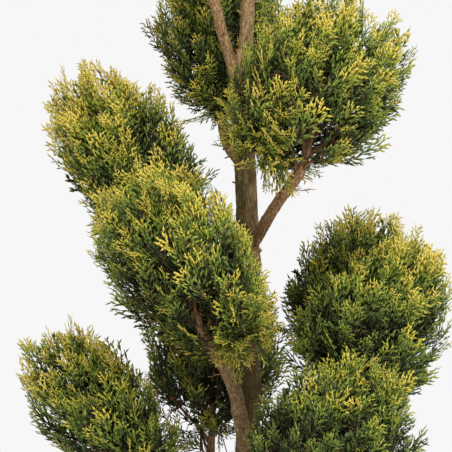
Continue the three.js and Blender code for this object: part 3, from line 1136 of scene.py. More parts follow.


# Per head, the tone lightens or darkens the whole head, partly its own gold and partly painted light and
# shade, and the side value is painted light and shade on one side of it.
HEADS = (
    Head(
        "upper_right", 0, (62, -105, 968), (-7, -105, 984), (184, -150, 1213), 115, 0.56, 0.38, height=868,
        rise=0.75, thick=10, thin=8, gold_light_and_shade=0.05, painted_light_side=(-0.14, -0.04, -0.09), open_stem=0.75, skirt=2.5,
    ),
    Head(
        "upper_left_back", 1, (-40, 96, 1056), (-29, 70, 1054), (-61, 165, 1332), 103, 0.58, 0.44,
        height=985, rise=0.8, thick=9.5, thin=7.5, gold_light_and_shade=0.02, painted_light_side=(-0.1, 0.0, 0.0), fill=0.9,
    ),
    Head(
        "middle_left", 2, (-160, 32, 873), (-105, 25, 888), (-274, 45, 1136), 93, 0.45, 0.38, height=740,
        rise=0.6, thick=9.5, thin=7.5, gold_light_and_shade=0.07, painted_light_side=(-0.06, 0.0, 0.08),
    ),
    Head(
        "middle_front", 3, (-56, -92, 726), (10, -90, 713), (-190, -165, 970), 106, 0.62, 0.38, height=556,
        rise=2.4, thick=12, thin=9.5, gold_light_and_shade=0.08, painted_light_side=(0.1, 0.1, -0.06), open_stem=0.7, skirt=3,
    ),
    Head(
        "lower_left", 4, (-190, -24, 512), (-114, -15, 506), (-322, -41, 742), 82, 0.55, 0.41, height=386,
        rise=0.4, thick=10, thin=7.5, gold_light_and_shade=0.06, painted_light_side=(0.0, 0.0, -0.03), open_stem=0.6,
    ),
    Head(
        "lower_back", 5, (-60, 128, 552), (-66, 108, 545), (-46, 170, 832), 109, 0.57, 0.38, height=420,
        rise=0.7, thick=9.5, thin=7, gold_light_and_shade=0.04, fill=0.8, skirt=1.5, bare_foot=0.3, low_sprays=12,
    ),
    Head(
        "middle_right", 6, (159, -45, 625), (107, -40, 651), (268, -55, 873), 105, 0.36, 0.52, height=490,
        rise=0.5, thick=10.5, thin=8, gold_light_and_shade=-0.07,
    ),
    Head(
        "middle_right_back", 7, (160, 148, 668), (140, 130, 674), (211, 195, 920), 113, 0.42, 0.46,
        height=560, rise=0.4, thick=9.5, thin=7, gold_light_and_shade=-0.1,
    ),
    Head(
        "lower_right", 8, (94, -165, 449), (48, -140, 470), (187, -215, 709), 119, 0.44, 0.58, height=362,
        rise=0.3, thick=10.5, thin=8, gold_light_and_shade=-0.16, painted_light_side=(0.0, 0.0, -0.08),
    ),
    Head(
        "lower_right_back", 9, (98, 168, 410), (84, 150, 414), (142, 226, 630), 88, 0.5, 0.45, height=374,
        rise=0.2, thick=9.5, thin=7,
    ),
    Head(
        "top_right", 10, (92, 58, 1320), (67, 45, 1328), (158, 90, 1550), 100, 0.5, 0.43,
        Carrier.RIGHT_LEADER, height=1264, rise=0.5, thick=7.5, thin=6,
    ),
    Head(
        "top_left", 11, (-110, -38, 1294), (-86, -28, 1300), (-172, -60, 1530), 101, 0.5, 0.42,
        Carrier.LEFT_LEADER,
    ),
    Head(
        "crown", 12, (-10, -1, 1488), (-8, 0, 1488), (-16, -6, 1738), 108, 0.52, 0.45,
        Carrier.RIGHT_LEADER,
    ),
)


# Wood


@dataclass
class Skeleton:
    """The trunk, its two leaders and every bough, as one run of bark.

    A line's two radii are at its start and at its end. Lumps keep off so many millimetres at both ends.
    """

    soil_height: float = 284.0
    trunk_line: tuple[Triple, ...] = (
        (0, 0, 280), (-1, -3, 400), (-3, -2, 565), (-2, 2, 793),
        (-3, 2, 883), (-6, 0, 966), (-10, 0, 1048), (-15, 0, 1130),
    )
    foot_radius: float = 20.0
    fork_radius: float = 15.5
    fork_starts: float = 1098.0
    left_line: tuple[Triple, ...] = ((-29, -3, 1153), (-43, -9, 1198), (-58, -17, 1243))
    right_line: tuple[Triple, ...] = ((-5, 1, 1198), (-3, 3, 1243), (-5, 3, 1333), (-8, 1, 1410))
    left_radii: Pair = (9.5, 7.0)
    right_radii: Pair = (12.0, 7.0)
    run_in: float = 28.0
    leave_share: float = 0.4
    arrive_share: float = 0.36
    collar_swell: float = 0.16
    collar_fade: float = 9.0
    stub_line: tuple[Triple, ...] = ((-12, -6, 1120), (-15, -13, 1146), (-15, -18, 1168))
    stub_radius: float = 6.5
    knot_line: tuple[Triple, ...] = ((2, -4, 862), (10, -8, 865), (18, -10, 868))
    knot_radius: float = 3.6
    stub_end: float = 0.8
    trunk_steps: int = 180
    leader_steps: int = 90
    bough_steps: int = 60
    stub_steps: int = 12
    stem_steps: int = 29
    stem_end: float = 0.4
    sides: int = 20
    lump_every: float = 45.0
    lump_free_ends: Pair = (20, 5)
    lump_rise: Pair = (0.08, 0.24)
    lump_length: Pair = (7, 14)
    lump_narrowness: float = 2.2
    voxel: float = 2.2
    rounding: int = 6
    rounding_share: float = 0.5
    relief: float = 3.3
    plate_noise: Triple = (1.6, 3, 0.6)
    limb_apart: float = 900.0
    stretch: float = 0.45
    grain_size: float = 10.0
    near_places: int = 14
    old_radius: float = 15.0
    young_radius: float = 5.0
    seed: int = 7
    limbs: dict[str, Limb] = field(default_factory=dict)

    def grow(self) -> None:
        """Works out every limb's line and radius."""
        line = curved_line(self.trunk_line, self.trunk_steps)
        radii = mix(self.foot_radius, self.fork_radius, np.linspace(0, 1, len(line)))
        trunk = Limb("trunk", line, radii, np.array([1.0, 0, 0]), flare=RootFlare())
        self.limbs["trunk"] = trunk
        for head in HEADS:
            if head.height is None:
                self.limbs[head.carrier.value] = self.leader(head, trunk)
        for head in HEADS:
            if head.height is not None:
                self.limbs[f"bough_{head.name}"] = self.bough(head, self.limbs[head.carrier.value])
        for name, places, radius in (
            ("fork_stub", self.stub_line, self.stub_radius),
            ("trunk_knot", self.knot_line, self.knot_radius),
        ):
            line = curved_line(places, self.stub_steps)
            radii = radius * np.linspace(1, self.stub_end, len(line))
            self.limbs[name] = Limb(name, line, radii, np.array([0, 1.0, 0]))

    def with_stem(self, limb: Limb, head: Head) -> Limb:
        """Carries a limb on into its head as the head's stem, which thins out.

        Args:
            limb: The limb up to the head's foot.
            head: The head.

        Returns:
            The whole limb.
        """
        stem = head.stem(self.stem_steps)[1:]
        thinning = mix(1, self.stem_end, np.linspace(0, 1, len(stem))) * limb.radii[-1]
        line, radii = np.vstack([limb.line, stem]), np.concatenate([limb.radii, thinning])
        return Limb(limb.name, line, radii, limb.across, places_in_head=len(stem) - 1)

    def leader(self, head: Head, trunk: Limb) -> Limb:
        """Grows a leader, from inside the trunk to the foot of its head and on into it.

        Args:
            head: The head that it carries.
            trunk: The trunk.

        Returns:
            The leader.
        """
        is_left = head.carrier is Carrier.LEFT_LEADER
        middle, ends = (self.left_line, self.left_radii) if is_left else (self.right_line, self.right_radii)
        foot = np.array(head.foot)
        places = [trunk.point_at_height(self.fork_starts), *middle, foot - head.axis * self.run_in, foot]
        line = curved_line(places, self.leader_steps)
        radii = mix(*ends, np.linspace(0, 1, len(line)))
        return self.with_stem(Limb(head.carrier.value, line, radii, np.array([0, 1.0, 0])), head)

    def bough(self, head: Head, carrier: Limb) -> Limb:
        """Grows a bough, from inside its carrier to the foot of its head and on into it.

        Args:
            head: The head that it carries.
            carrier: The limb that it leaves.

        Returns:
            The bough.
        """
        start = carrier.point_at_height(head.height)
        foot = np.array(head.foot)
        chord = foot - start
        outward = unit(chord * (1, 1, 0))
        reach = float(np.linalg.norm(chord))
        leaving = start + unit(outward + UP * head.rise) * self.leave_share * reach
        arriving = foot - head.axis * self.arrive_share * reach
        line = arched_line((start, leaving, arriving, foot), self.bough_steps)
        share = np.linspace(0, 1, len(line))
        collar = 1 + self.collar_swell * np.exp(-share * self.collar_fade)
        radii = mix(head.thick, head.thin, share) * collar
        return self.with_stem(Limb(f"bough_{head.name}", line, radii, unit(np.cross(outward, UP))), head)

    def samples(self) -> tuple[np.ndarray, np.ndarray]:
        """Lists places down every limb, without the stems inside the heads.

        Returns:
            The places and the radius at each.
        """
        own = [(limb, limb.bare_places()) for limb in self.limbs.values()]
        lines = [limb.line[:count] for limb, count in own]
        return np.vstack(lines), np.concatenate([limb.radii[:count] for limb, count in own])

    def limb_tube(self, limb: Limb) -> Shape:
        """Makes a limb as a closed tube with knots, lumps and, on the trunk, its flare.

        Args:
            limb: The limb.

        Returns:
            The tube.
        """
        random = np.random.default_rng(self.seed + len(limb.name) + len(limb.line))
        _, first, second = limb.bearings()
        free_start, free_end = self.lump_free_ends
        turn = turns_round(self.sides)
        way = travelled(limb.line)
        radius = np.repeat(limb.radii[:, None], self.sides, axis=1)
        for _ in range(int(way[-1] / self.lump_every)):
            middle, side = random.uniform(free_start, way[-1] - free_end), random.uniform(0, FULL_TURN)
            nearness = np.exp(-(((way - middle) / random.uniform(*self.lump_length)) ** 2))[:, None]
            facing = np.exp(self.lump_narrowness * (np.cos(turn - side) - 1))[None, :]
            radius = radius * (1 + random.uniform(*self.lump_rise) * nearness * facing)
        if limb.flare:
            above = np.maximum(limb.line[:, 2] - self.soil_height, 0)[:, None]
            radius = radius + limb.flare.swell(above, turn[None, :])
        return tube(limb.line, first, second, radius, self.sides)

    def build(self, bark: Bark) -> bpy.types.Object:
        """Fuses the tubes, rounds the crotches and cuts the bark's relief into them.

        Args:
            bark: The finish.

        Returns:
            The finished piece.
        """
        places, faces = joined(self.limb_tube(limb) for limb in self.limbs.values())
        piece = shown("limbs", new_mesh("limbs", places, faces))
        fused = piece.modifiers.new("fused", "REMESH")
        fused.mode = "VOXEL"
        fused.voxel_size = self.voxel * METRES
        rounded = piece.modifiers.new("rounded", "SMOOTH")
        rounded.factor = self.rounding_share
        rounded.iterations = self.rounding
        settled(piece)
        self.lay_grain(piece.data)
        self.raise_relief(piece, bark)
        smooth(piece.data)
        wooden = [name for name in frame["nodes"] if name.split("_")[0] in ("trunk", "leader", "bough")]
        return booked(piece, Slot.BARK, *wooden)

    def lay_grain(self, mesh: bpy.types.Mesh) -> None:
        """Stores where each vertex lies round and along its limb, and how young the wood is there.

        Args:
            mesh: The fused limbs.
        """
        limbs = list(self.limbs.values())
        way = np.concatenate([travelled(limb.line) for limb in limbs])
        own_start = np.repeat(self.limb_apart * np.arange(len(limbs)), [len(limb.line) for limb in limbs])
        along, first, second = (np.vstack(rows) for rows in zip(*(limb.bearings() for limb in limbs)))
        middle = np.vstack([limb.line for limb in limbs])
        radii = np.concatenate([limb.radii for limb in limbs])
        tree = kdtree.KDTree(len(middle))
        for number, place in enumerate(middle):
            tree.insert(Vector(place), number)
        tree.balance()
        places = places_of(mesh)
        nearest = np.empty(len(places), int)
        for number, place in enumerate(places):
            found = tree.find_n(Vector(place), self.near_places)
            nearest[number] = min(found, key=lambda item: item[2] - radii[item[1]])[1]
        away = places - middle[nearest]
        round_it = [np.sum(away * bearing[nearest], axis=1) for bearing in (first, second)]
        down_it = (way[nearest] + np.sum(away * along[nearest], axis=1)) * self.stretch
        grain = np.column_stack([*round_it, down_it + own_start[nearest]]) / self.grain_size
        young = (self.old_radius - radii[nearest]) / (self.old_radius - self.young_radius)
        set_attributes(mesh, grain=grain, young=np.clip(young, 0, 1))

    def raise_relief(self, piece: bpy.types.Object, bark: Bark) -> None:
        """Raises plates and sinks cracks along the grain, and sets the finish.

        Args:
            piece: The fused limbs, which are changed.
            bark: The finish.
        """
        tree = GeometryTree("bark_relief")
        graph = tree.graph
        depth = tree.input("Depth", "Float", self.relief * METRES)
        plates = graph.noise(tree.attribute("grain", "FLOAT_VECTOR"), *self.plate_noise)
        normal = graph.add("GeometryNodeInputNormal").outputs[0]
        lift = {0: normal, "Scale": graph.times(graph.minus(plates, 0.5), depth)}
        moved = graph.add("GeometryNodeSetPosition", {
            "Geometry": tree.source.outputs["Geometry"],
            "Offset": graph.add("ShaderNodeVectorMath", lift, operation="SCALE").outputs[0],
        })
        realized = graph.add("GeometryNodeRealizeInstances", {"Geometry": moved.outputs[0]}).outputs[0]
        tree.run_on(piece, tree.painted(realized, "Bark", bark))


@dataclass
class BarkTrim:
    """What stands off the limbs: stubs of pruned twigs, peeling strips and bare side twigs.

    Stubs and strips keep off so many places at both ends of a limb. A bare twig has the name of its head, a
    share of the way up the bough and a heading, and it forks at the places of `forks_at`.
    """

    skeleton: Skeleton
    free_places: tuple[int, int] = (4, 2)
    stub_every: float = 26.0
    stub_length: Pair = (4.0, 9.0)
    stub_radius: float = 1.7
    stub_swell: tuple[float, ...] = (1.5, 1.15, 1.0, 1.0, 0.75)
    stub_lean: Pair = (0.1, 0.9)
    stub_sink: float = 2.5
    stub_range: Pair = (0.7, 1.3)
    strip_every: float = 9.0
    strip_length: Pair = (14.0, 46.0)
    strip_step: float = 5.0
    strip_knots: int = 6
    strip_radius: float = 0.75
    strip_range: Pair = (0.7, 1.5)
    strip_taper: Pair = (0.12, 0.9)
    strip_lift: float = 1.6
    strip_lift_range: Pair = (-0.2, 1.0)
    strip_sink: float = 0.2
    strip_twist: float = 0.1
    bare_length: float = 30.0
    bare_radius: float = 0.8
    bare_end: float = 0.4
    bare_steps: int = 8
    bare_bend: Pair = (4.0, 9.0)
    bare_sway: float = 1.2
    bare_waves: float = 9.0
    forks_at: tuple[int, ...] = (2, 3, 5, 6, 7)
    fork_steps: int = 4
    fork_lean: Pair = (0.35, 0.8)
    fork_scatter: float = 0.12
    fork_curl: float = 0.6
    fork_length: Pair = (0.2, 0.42)
    sides: int = 5
    grain_scale: Triple = (0.1, 0.1, 0.045)
    youth: float = 0.7
    seed: int = 21
    bare_twigs: tuple[tuple[str, float, Triple], ...] = (
        ("upper_right", 0.9, (0.9, -0.1, -0.35)),
        ("upper_left_back", 0.55, (-0.8, -0.2, 0.5)),
        ("middle_front", 0.72, (-0.7, -0.5, 0.2)),
        ("lower_back", 0.6, (-0.8, -0.3, 0.4)),
        ("middle_left", 0.6, (-0.2, -0.9, 0.3)),
        ("lower_right_back", 0.7, (0.3, 0.9, 0.2)),
        ("middle_right_back", 0.6, (0.5, 0.7, -0.2)),
    )

    def build(self, bark: Bark) -> bpy.types.Object:
        """Makes the trim as one piece.

        Args:
            bark: The finish.

        Returns:
            The finished piece.
        """
        random = np.random.default_rng(self.seed)
        free_start, free_end = self.free_places
        made = []
        for limb in self.skeleton.limbs.values():
            places = limb.bare_places()
            for grown, every in ((self.stub, self.stub_every), (self.strip, self.strip_every)):
                for _ in range(int(travelled(limb.line[:places])[-1] / every)):
                    made.append(grown(limb, random.integers(free_start, places - free_end), random))
        for name, share, heading in self.bare_twigs:
            limb = self.skeleton.limbs[f"bough_{name}"]
            start = limb.line[round(share * limb.bare_places())]
            for line in self.bare_twig(start, unit(np.array(heading)), random):
                made.append((line, np.linspace(self.bare_radius, self.bare_end, len(line))))
        places, faces = thin_tubes(*zip(*made), self.sides)
        piece = shown("bark_trim", new_mesh("bark_trim", places, faces), bark)
        set_attributes(piece.data, grain=places * self.grain_scale, young=np.full(len(places), self.youth))
        smooth(piece.data)
        return booked(piece, Slot.BARK)

    def out_of(self, limb: Limb, number: int, turn: float) -> tuple[np.ndarray, np.ndarray, np.ndarray]:
        """Finds a place on the bark.

        Args:
            limb: The limb.
            number: Which of its places.
            turn: The angle round it.

        Returns:
            The place, the direction out of it and the limb's own direction there.
        """
        along, first, second = (bearing[number] for bearing in limb.bearings())
        outward = second * math.cos(turn) + first * math.sin(turn)
        return limb.line[number] + outward * limb.radii[number], outward, along

    def stub(self, limb: Limb, number: int, random: np.random.Generator) -> tuple[np.ndarray, np.ndarray]:
        """Makes one stub of a pruned twig.

        Args:
            limb: The limb.
            number: Which of its places.
            random: What the choices are drawn from.

        Returns:
            Its line and its radius at each place.
        """
        place, outward, along = self.out_of(limb, number, random.uniform(0, FULL_TURN))
        heading = unit(outward + along * random.uniform(*self.stub_lean))
        length = random.uniform(*self.stub_length)
        line = place + np.outer(np.linspace(-self.stub_sink, length, len(self.stub_swell)), heading)
        return line, np.array(self.stub_swell) * (self.stub_radius * random.uniform(*self.stub_range))

    def strip(self, limb: Limb, number: int, random: np.random.Generator) -> tuple[np.ndarray, np.ndarray]:
        """Makes one strip of bark that peels away towards its upper end.

        Args:
            limb: The limb.
            number: Which of its places.
            random: What the choices are drawn from.

        Returns:
            Its line and its radius at each place.
        """
        turn = random.uniform(0, FULL_TURN)
        steps = max(2, int(random.uniform(*self.strip_length) / self.strip_step))
        last = min(number + steps, limb.bare_places() - 1)
        knots = np.unique(np.linspace(number, last, self.strip_knots).astype(int))
        if len(knots) < 3:
            knots = np.array([number - 2, number - 1, number])
        share = np.linspace(0, 1, len(knots))
        lift = self.strip_lift * random.uniform(*self.strip_lift_range) * share**2 - self.strip_sink
        line = []
        for knot, part, off in zip(knots, share, lift):
            place, outward, _ = self.out_of(limb, knot, turn + self.strip_twist * part)
            line.append(place + outward * off)
        taper = np.sin(math.pi * mix(*self.strip_taper, share))
        return np.array(line), self.strip_radius * random.uniform(*self.strip_range) * taper

    def bare_twig(
        self, start: np.ndarray, heading: np.ndarray, random: np.random.Generator,
    ) -> list[np.ndarray]:
        """Makes a leafless side twig that forks a few times.

        Args:
            start: Where it leaves the limb.
            heading: Which way it points.
            random: What the choices are drawn from.

        Returns:
            The lines of the twig and of its forks.
        """
        share = np.linspace(0, 1, self.bare_steps + 1)[:, None]
        side = unit(np.cross(heading, (0.1, 0.95, 0.2)))
        main = start + heading * share * self.bare_length + side * share**2 * random.uniform(*self.bare_bend)
        lines = [main + side * self.bare_sway * np.sin(share * self.bare_waves)]
        part = np.linspace(0, 1, self.fork_steps + 1)[:, None]
        for number in self.forks_at:
            lean = random.uniform(*self.fork_lean) * (1 if number % 2 else -1)
            way = unit(heading + side * lean + random.normal(0, self.fork_scatter, 3))
            bent = unit(way + heading * self.fork_curl)
            length = self.bare_length * random.uniform(*self.fork_length)
            lines.append(lines[0][number] + (way * part * (1 - part / 2) + bent * part**2 / 2) * length)
        return lines


# Foliage


@dataclass(frozen=True)
class SprayForm:
    """The make-up of one flattened spray, as shares of its own length, with angles in degrees.

    Its axis carries branchlets. Each has a near part up to its elbow, a far part beyond it, and lobes along
    both. A light is how light such a part is at the spray's root and at its tip.
    """

    axis_pieces: int = 4
    axis_noise: Pair = (0.01, 0.02)
    arch: float = 0.03
    overlap: float = 0.22
    branchlets: int = 10
    lowest: float = 0.08
    highest: float = 0.9
    open_angle: float = 36.0
    angle_fall: float = 0.25
    angle_range: Pair = (0.8, 1.2)
    longest: float = 0.48
    length_taper: Pair = (0.28, 0.92)
    length_range: Pair = (0.8, 1.15)
    elbow: float = 0.55
    elbow_overlap: Pair = (0.03, 0.02)
    far_share: float = 0.5
    curl: float = 0.25
    curl_scatter: float = 0.1
    shoot_width: float = 0.045
    near_width: float = 0.95
    lobes: int = 3
    lobe_span: Pair = (0.24, 0.82)
    lobe_length: float = 0.15
    lobe_range: Pair = (0.75, 1.2)
    lobe_angle: Pair = (20.0, 30.0)
    lobe_width: float = 0.9
    scatter: float = 0.1
    roll: float = 0.3
    widest: float = 0.45
    fold: float = 0.35
    near_light: Pair = (0.1, 0.9)
    far_light: Pair = (0.32, 1.07)
    lobe_light: Pair = (0.24, 0.84)
    onward_light: float = 0.22
    step_middle: float = 0.55
    step_noise: float = 0.08
    step_range: float = 1.0

    def shoot(self, start: np.ndarray, end: np.ndarray, width: float, roll: float) -> np.ndarray:
        """Places one shoot, folded along its middle.

        Args:
            start: Its root.
            end: Its tip.
            width: Its width.
            roll: The angle of its flat side.

        Returns:
            Four places: root, two sides nearer its far end, and tip.
        """
        along = unit(end - start)
        first = unit(np.cross(along, (0.2, 0.9, 0.37)))
        side = first * math.cos(roll) + np.cross(along, first) * math.sin(roll)
        half, back = side * width / 2, np.cross(along, side) * (width * self.fold / 2)
        middle = start + (end - start) * self.widest - back
        return np.vstack([start + back, middle - half, middle + half, end + back])

    def axis(self, random: np.random.Generator) -> np.ndarray:
        """Bends the spray's axis.

        Args:
            random: What the bends are drawn from.

        Returns:
            The places between its pieces.
        """
        knots = [np.zeros(3)]
        arch = random.uniform(-self.arch, self.arch)
        in_plane, out_of_plane = self.axis_noise
        for number in range(self.axis_pieces):
            sway = arch * (number - self.axis_pieces / 2) + random.normal(0, in_plane)
            knots.append(knots[-1] + np.array([sway, random.normal(0, out_of_plane), 1 / self.axis_pieces]))
        return np.array(knots)

    def build(self, name: str, seed: int) -> bpy.types.Mesh:
        """Makes one spray along +Z, a unit long and flattened in XZ.

        Args:
            name: The mesh's name.
            seed: What its random bends start from.

        Returns:
            The mesh, with a step for each vertex that goes from dark root to light tips.
        """
        random = np.random.default_rng(seed)
        shoots: list[np.ndarray] = []
        steps: list[float] = []

        def shoot(start: np.ndarray, end: np.ndarray, share: float, light: float) -> None:
            """Adds one shoot.

            Args:
                start: Its root.
                end: Its tip.
                share: Its share of the full width.
                light: How light it is, 0 to 1.
            """
            roll = random.uniform(-self.roll, self.roll)
            shoots.append(self.shoot(start, end, self.shoot_width * share, roll))
            steps.append(light + random.normal(0, self.step_noise))

        knots = self.axis(random)
        shares = np.linspace(0, 1, len(knots))
        back, on = self.elbow_overlap
        for number, (start, end) in enumerate(zip(knots, knots[1:])):
            shoot(start, end + (end - start) * self.overlap, 1.0, number / self.axis_pieces)
        for number in range(self.branchlets):
            share = mix(self.lowest, self.highest, number / (self.branchlets - 1))
            side = 1 if number % 2 else -1
            base = np.array([np.interp(share, shares, knots[:, axis]) for axis in range(3)])
            opening = math.radians(self.open_angle) * (1 - self.angle_fall * share)
            angle = opening * random.uniform(*self.angle_range)
            heading = np.array([side * math.sin(angle), random.normal(0, self.scatter), math.cos(angle)])
            heading = unit(heading)
            taper = math.sin(math.pi * mix(*self.length_taper, share))
            length = self.longest * taper * random.uniform(*self.length_range)
            middle = base + heading * length * self.elbow
            bend = np.array([-side * self.curl, random.normal(0, self.curl_scatter), self.curl])
            curl = unit(heading + bend)
            far = middle + curl * length * self.far_share
            shoot(base, middle + curl * on, self.near_width, mix(*self.near_light, share))
            shoot(middle - heading * back, far, 1.0, mix(*self.far_light, share))
            for lobe in range(self.lobes):
                onward = mix(*self.lobe_span, lobe / max(self.lobes - 1, 1))
                past_elbow = max(onward - self.elbow, 0)
                root = base + length * (heading * min(onward, self.elbow) + curl * past_elbow)
                turn = math.radians(random.uniform(*self.lobe_angle)) * (1 if lobe % 2 else -1)
                spun = unit(np.array([
                    heading[0] * math.cos(turn) + heading[2] * math.sin(turn),
                    heading[1] + random.normal(0, self.scatter),
                    heading[2] * math.cos(turn) - heading[0] * math.sin(turn),
                ]))
                far = root + spun * self.lobe_length * random.uniform(*self.lobe_range)
                light = mix(*self.lobe_light, share) + self.onward_light * onward
                shoot(root, far, self.lobe_width, light)
        corners = np.array([[0, 1, 3], [0, 3, 2], [0, 2, 1], [1, 2, 3]])
        faces = (corners[None] + 4 * np.arange(len(shoots))[:, None, None]).reshape(-1, 3).tolist()
        mesh = facing_out(new_mesh(name, np.vstack(shoots) / METRES, faces))
        light = np.repeat(np.clip(steps, 0, 2 * self.step_middle), 4)
        set_attributes(mesh, step=(light - self.step_middle) * self.step_range)
        return mesh


FINE_SPRAY = SprayForm()
COARSE_SPRAY = SprayForm(
    branchlets=5, lobes=1, shoot_width=0.08, lobe_length=0.2, scatter=0.25, step_range=0.7,
)


@dataclass(frozen=True)
class Layer:
    """One shell of sprays in a head. Its count is for a head whose radius times length is `full_area`.

    Lowest and highest are shares of the head's length, and nearest and furthest are shares of the way
    from its heart to its outline. Sprays lean up, wander from their course, and vary from `length`. The
    shade drop darkens a shell's sprays, which is painted shade deep in the head; the strays beyond the
    outline have one below zero, which is painted light.
    """

    name: str
    count: int
    lowest: float
    nearest: float
    furthest: float
    length: float
    shade_drop: float
    lean_up: float
    wander: float
    form: SprayForm = FINE_SPRAY
    highest: float = 0.995


LAYERS = (
    Layer("inner", 150, 0.1, 0.35, 0.66, 64, 0.45, 0.3, 0.45, COARSE_SPRAY),
    Layer("middle", 230, 0.07, 0.72, 0.92, 60, 0.3, 0.45, 0.3, COARSE_SPRAY),
    Layer("outer", 275, 0.05, 0.88, 1.035, 64, 0.0, 0.35, 0.24),
    Layer("stray", 36, 0.15, 1.03, 1.14, 56, -0.05, 0.4, 0.28),
    Layer("skirt", 16, 0.03, 0.98, 1.12, 50, 0.0, 0.5, 0.2, highest=0.24),
)


@dataclass
class Foliage:
    """The thirteen heads: their twigs and their sprays.

    The two ratios say how near the outline a main twig ends, first low in the head and then high in it.
    """

    skeleton: Skeleton
    box: tuple[np.ndarray, np.ndarray]
    beyond: float = 6.0
    full_area: float = 38000.0
    focus_share: float = 0.15
    middle_share: float = 0.45
    droop: float = 0.35
    droop_below: float = 0.32
    size_range: Pair = (0.75, 1.2)
    bare_keep: int = 4
    low_from: float = 0.45
    low_depth: float = 0.6
    low_rise: Pair = (-0.2, 0.7)
    low_size: Pair = (40.0, 62.0)
    # The low sprays' dark tints are painted shade under their head.
    low_shade: Pair = (0.0, 0.2)
    swing: float = 1.1
    family: int = 4
    fine_seed: int = 40
    coarse_seed: int = 70
    spray_seed: int = 500
    primary_seed: int = 900
    # These values light sprays towards the sun: partly the plant's own gold, partly painted light from above
    # and the front.
    sun_height: float = 1.05
    sun_out: float = 0.4
    sun_front: float = 0.2
    plain_light: float = 0.37
    sun_gain: float = 0.35
    sun_sharpness: float = 2.6
    # Painted light on the side of a head that faces away from the sun.
    shaded_side_lift: float = 0.09
    rise_gain: float = 0.06
    light_noise: float = 0.1
    light_wave: float = 0.05
    wave_turns: int = 4
    wave_rises: int = 9
    # Painted shade that darkens sprays low in the plant.
    painted_shade_low_down: float = 0.07
    shaded_below: float = 820.0
    shade_fall: float = 260.0
    limb_room: float = 2.0
    foot_room: float = 15.0
    head_room: float = 1.0
    open_width: float = 12.5
    stem_steps: int = 30
    primaries: int = 15
    primary_radius: float = 3.7
    primary_steps: int = 8
    primary_sides: int = 5
    primary_crowding: float = 0.8
    primary_swing: float = 0.2
    primary_span: Pair = (0.3, 0.92)
    leave_share: float = 0.35
    leave_up: float = 0.5
    arrive_share: float = 0.3
    arrive_lean: Pair = (0.7, 0.5)
    ratios: Pair = (0.8, 0.5)
    ratio_range: float = 0.05
    open_foot: float = 0.5
    first_joint: int = 2
    twig_radius: float = 0.9
    twig_taper: Pair = (1.2, 0.7)
    twig_bend: float = 0.4
    twig_places: int = 3
    twig_sides: int = 3
    run_in: float = 5.0
    behind_room: float = 4.0
    behind_cost: float = 60.0

    def build(self) -> None:
        """Makes every head's twigs and leaves."""
        forms = (("spray", FINE_SPRAY, self.fine_seed), ("coarse_spray", COARSE_SPRAY, self.coarse_seed))
        kinds = [
            form.build(f"{name}_{number}", seed + number)
            for name, form, seed in forms for number in range(self.family)
        ]
        for head in HEADS:
            rows = self.sprays(head)
            roots = rows.pop("root")
            points = new_mesh(f"points_{head.name}", roots, [])
            set_attributes(points, **rows)
            name = f"leaves_{head.name}"
            leaves = Scatter(name, points, kinds, self.family, LEAF_TINTS, head.index, self.swing).build()
            booked(leaves, Slot.FOLIAGE, f"foliage_{head.name}")
            self.twigs(head, roots, rows["heading"])
            LOG.info("%s: %d sprays, %d leaf faces", head.name, len(roots), len(leaves.data.polygons))

    def sprays(self, head: Head) -> dict[str, np.ndarray]:
        """Works out where each spray of a head stands.

        Args:
            head: The head.

        Returns:
            Each spray's root, heading, broad side, size in metres, shade, and the first kind of its family.
        """
        random = np.random.default_rng(self.spray_seed + head.index)
        names = ("root", "heading", "broad", "size", "shade", "first")
        rows: dict[str, list[np.ndarray]] = {name: [] for name in names}
        for layer in LAYERS:
            fill = head.skirt if layer.name == "skirt" else head.fill
            count = round(layer.count * fill * head.radius * head.length / self.full_area)
            spaced = (np.arange(count) + random.uniform(0, 1, count)) / count
            share = mix(layer.lowest, layer.highest, spaced)
            turn = np.arange(count) * GOLDEN_ANGLE + random.uniform(0, 1, count)
            tip = head.places(share, turn, random.uniform(layer.nearest, layer.furthest, count))
            size = layer.length * random.uniform(*self.size_range, count)
            outward = unit(tip - head.along(self.focus_share))
            lift = mix(-self.droop, layer.lean_up, np.clip(share / self.droop_below, 0, 1))
            heading = unit(outward + lift[:, None] * UP + random.normal(0, layer.wander, (count, 3)))
            root = tip - heading * size[:, None]
            broad = unit(tip - head.along(self.middle_share))
            # Inner shells are darker, as painted shade deep in the head.
            light = self.lightness(head, tip, broad, share, turn) - layer.shade_drop
            light += random.normal(0, self.light_noise, count)
            keep = self.has_room(head, tip, root)
            keep &= (share > head.bare_foot) | (np.arange(count) % self.bare_keep == 0)
            first = np.full(count, 0 if layer.form is FINE_SPRAY else self.family)
            for name, values in zip(names, (root, heading, broad, size, light, first)):
                rows[name].append(values[keep])
        if head.low_sprays:
            for name, values in self.low_sprays(head, random).items():
                rows[name].append(values)
        found = {name: np.concatenate(values) for name, values in rows.items()}
        return {**found, "size": found["size"] * METRES, "shade": np.clip(found["shade"], 0, 1)}

    def low_sprays(self, head: Head, random: np.random.Generator) -> dict[str, np.ndarray]:
        """Works out the few sprays that grow from a bough itself, below its head, in dark tints of painted
        shade.

        Args:
            head: The head.
            random: What the choices are drawn from.

        Returns:
            The same as for the sprays of a head, with the size in millimetres.
        """
        count = head.low_sprays
        limb = self.skeleton.limbs[f"bough_{head.name}"]
        number = random.integers(round(self.low_from * limb.bare_places()), limb.bare_places(), count)
        turn = random.uniform(0, FULL_TURN, count)
        rise = random.uniform(*self.low_rise, count)
        heading = unit(np.column_stack([np.cos(turn), self.low_depth * np.sin(turn), rise]))
        return {
            "root": limb.line[number] + heading * limb.radii[number][:, None],
            "heading": heading,
            "broad": np.broadcast_to((0.0, -1.0, 0.0), (count, 3)),
            "size": random.uniform(*self.low_size, count),
            # Dark tints: painted shade under the head.
            "shade": random.uniform(*self.low_shade, count),
            "first": np.full(count, 0),
        }

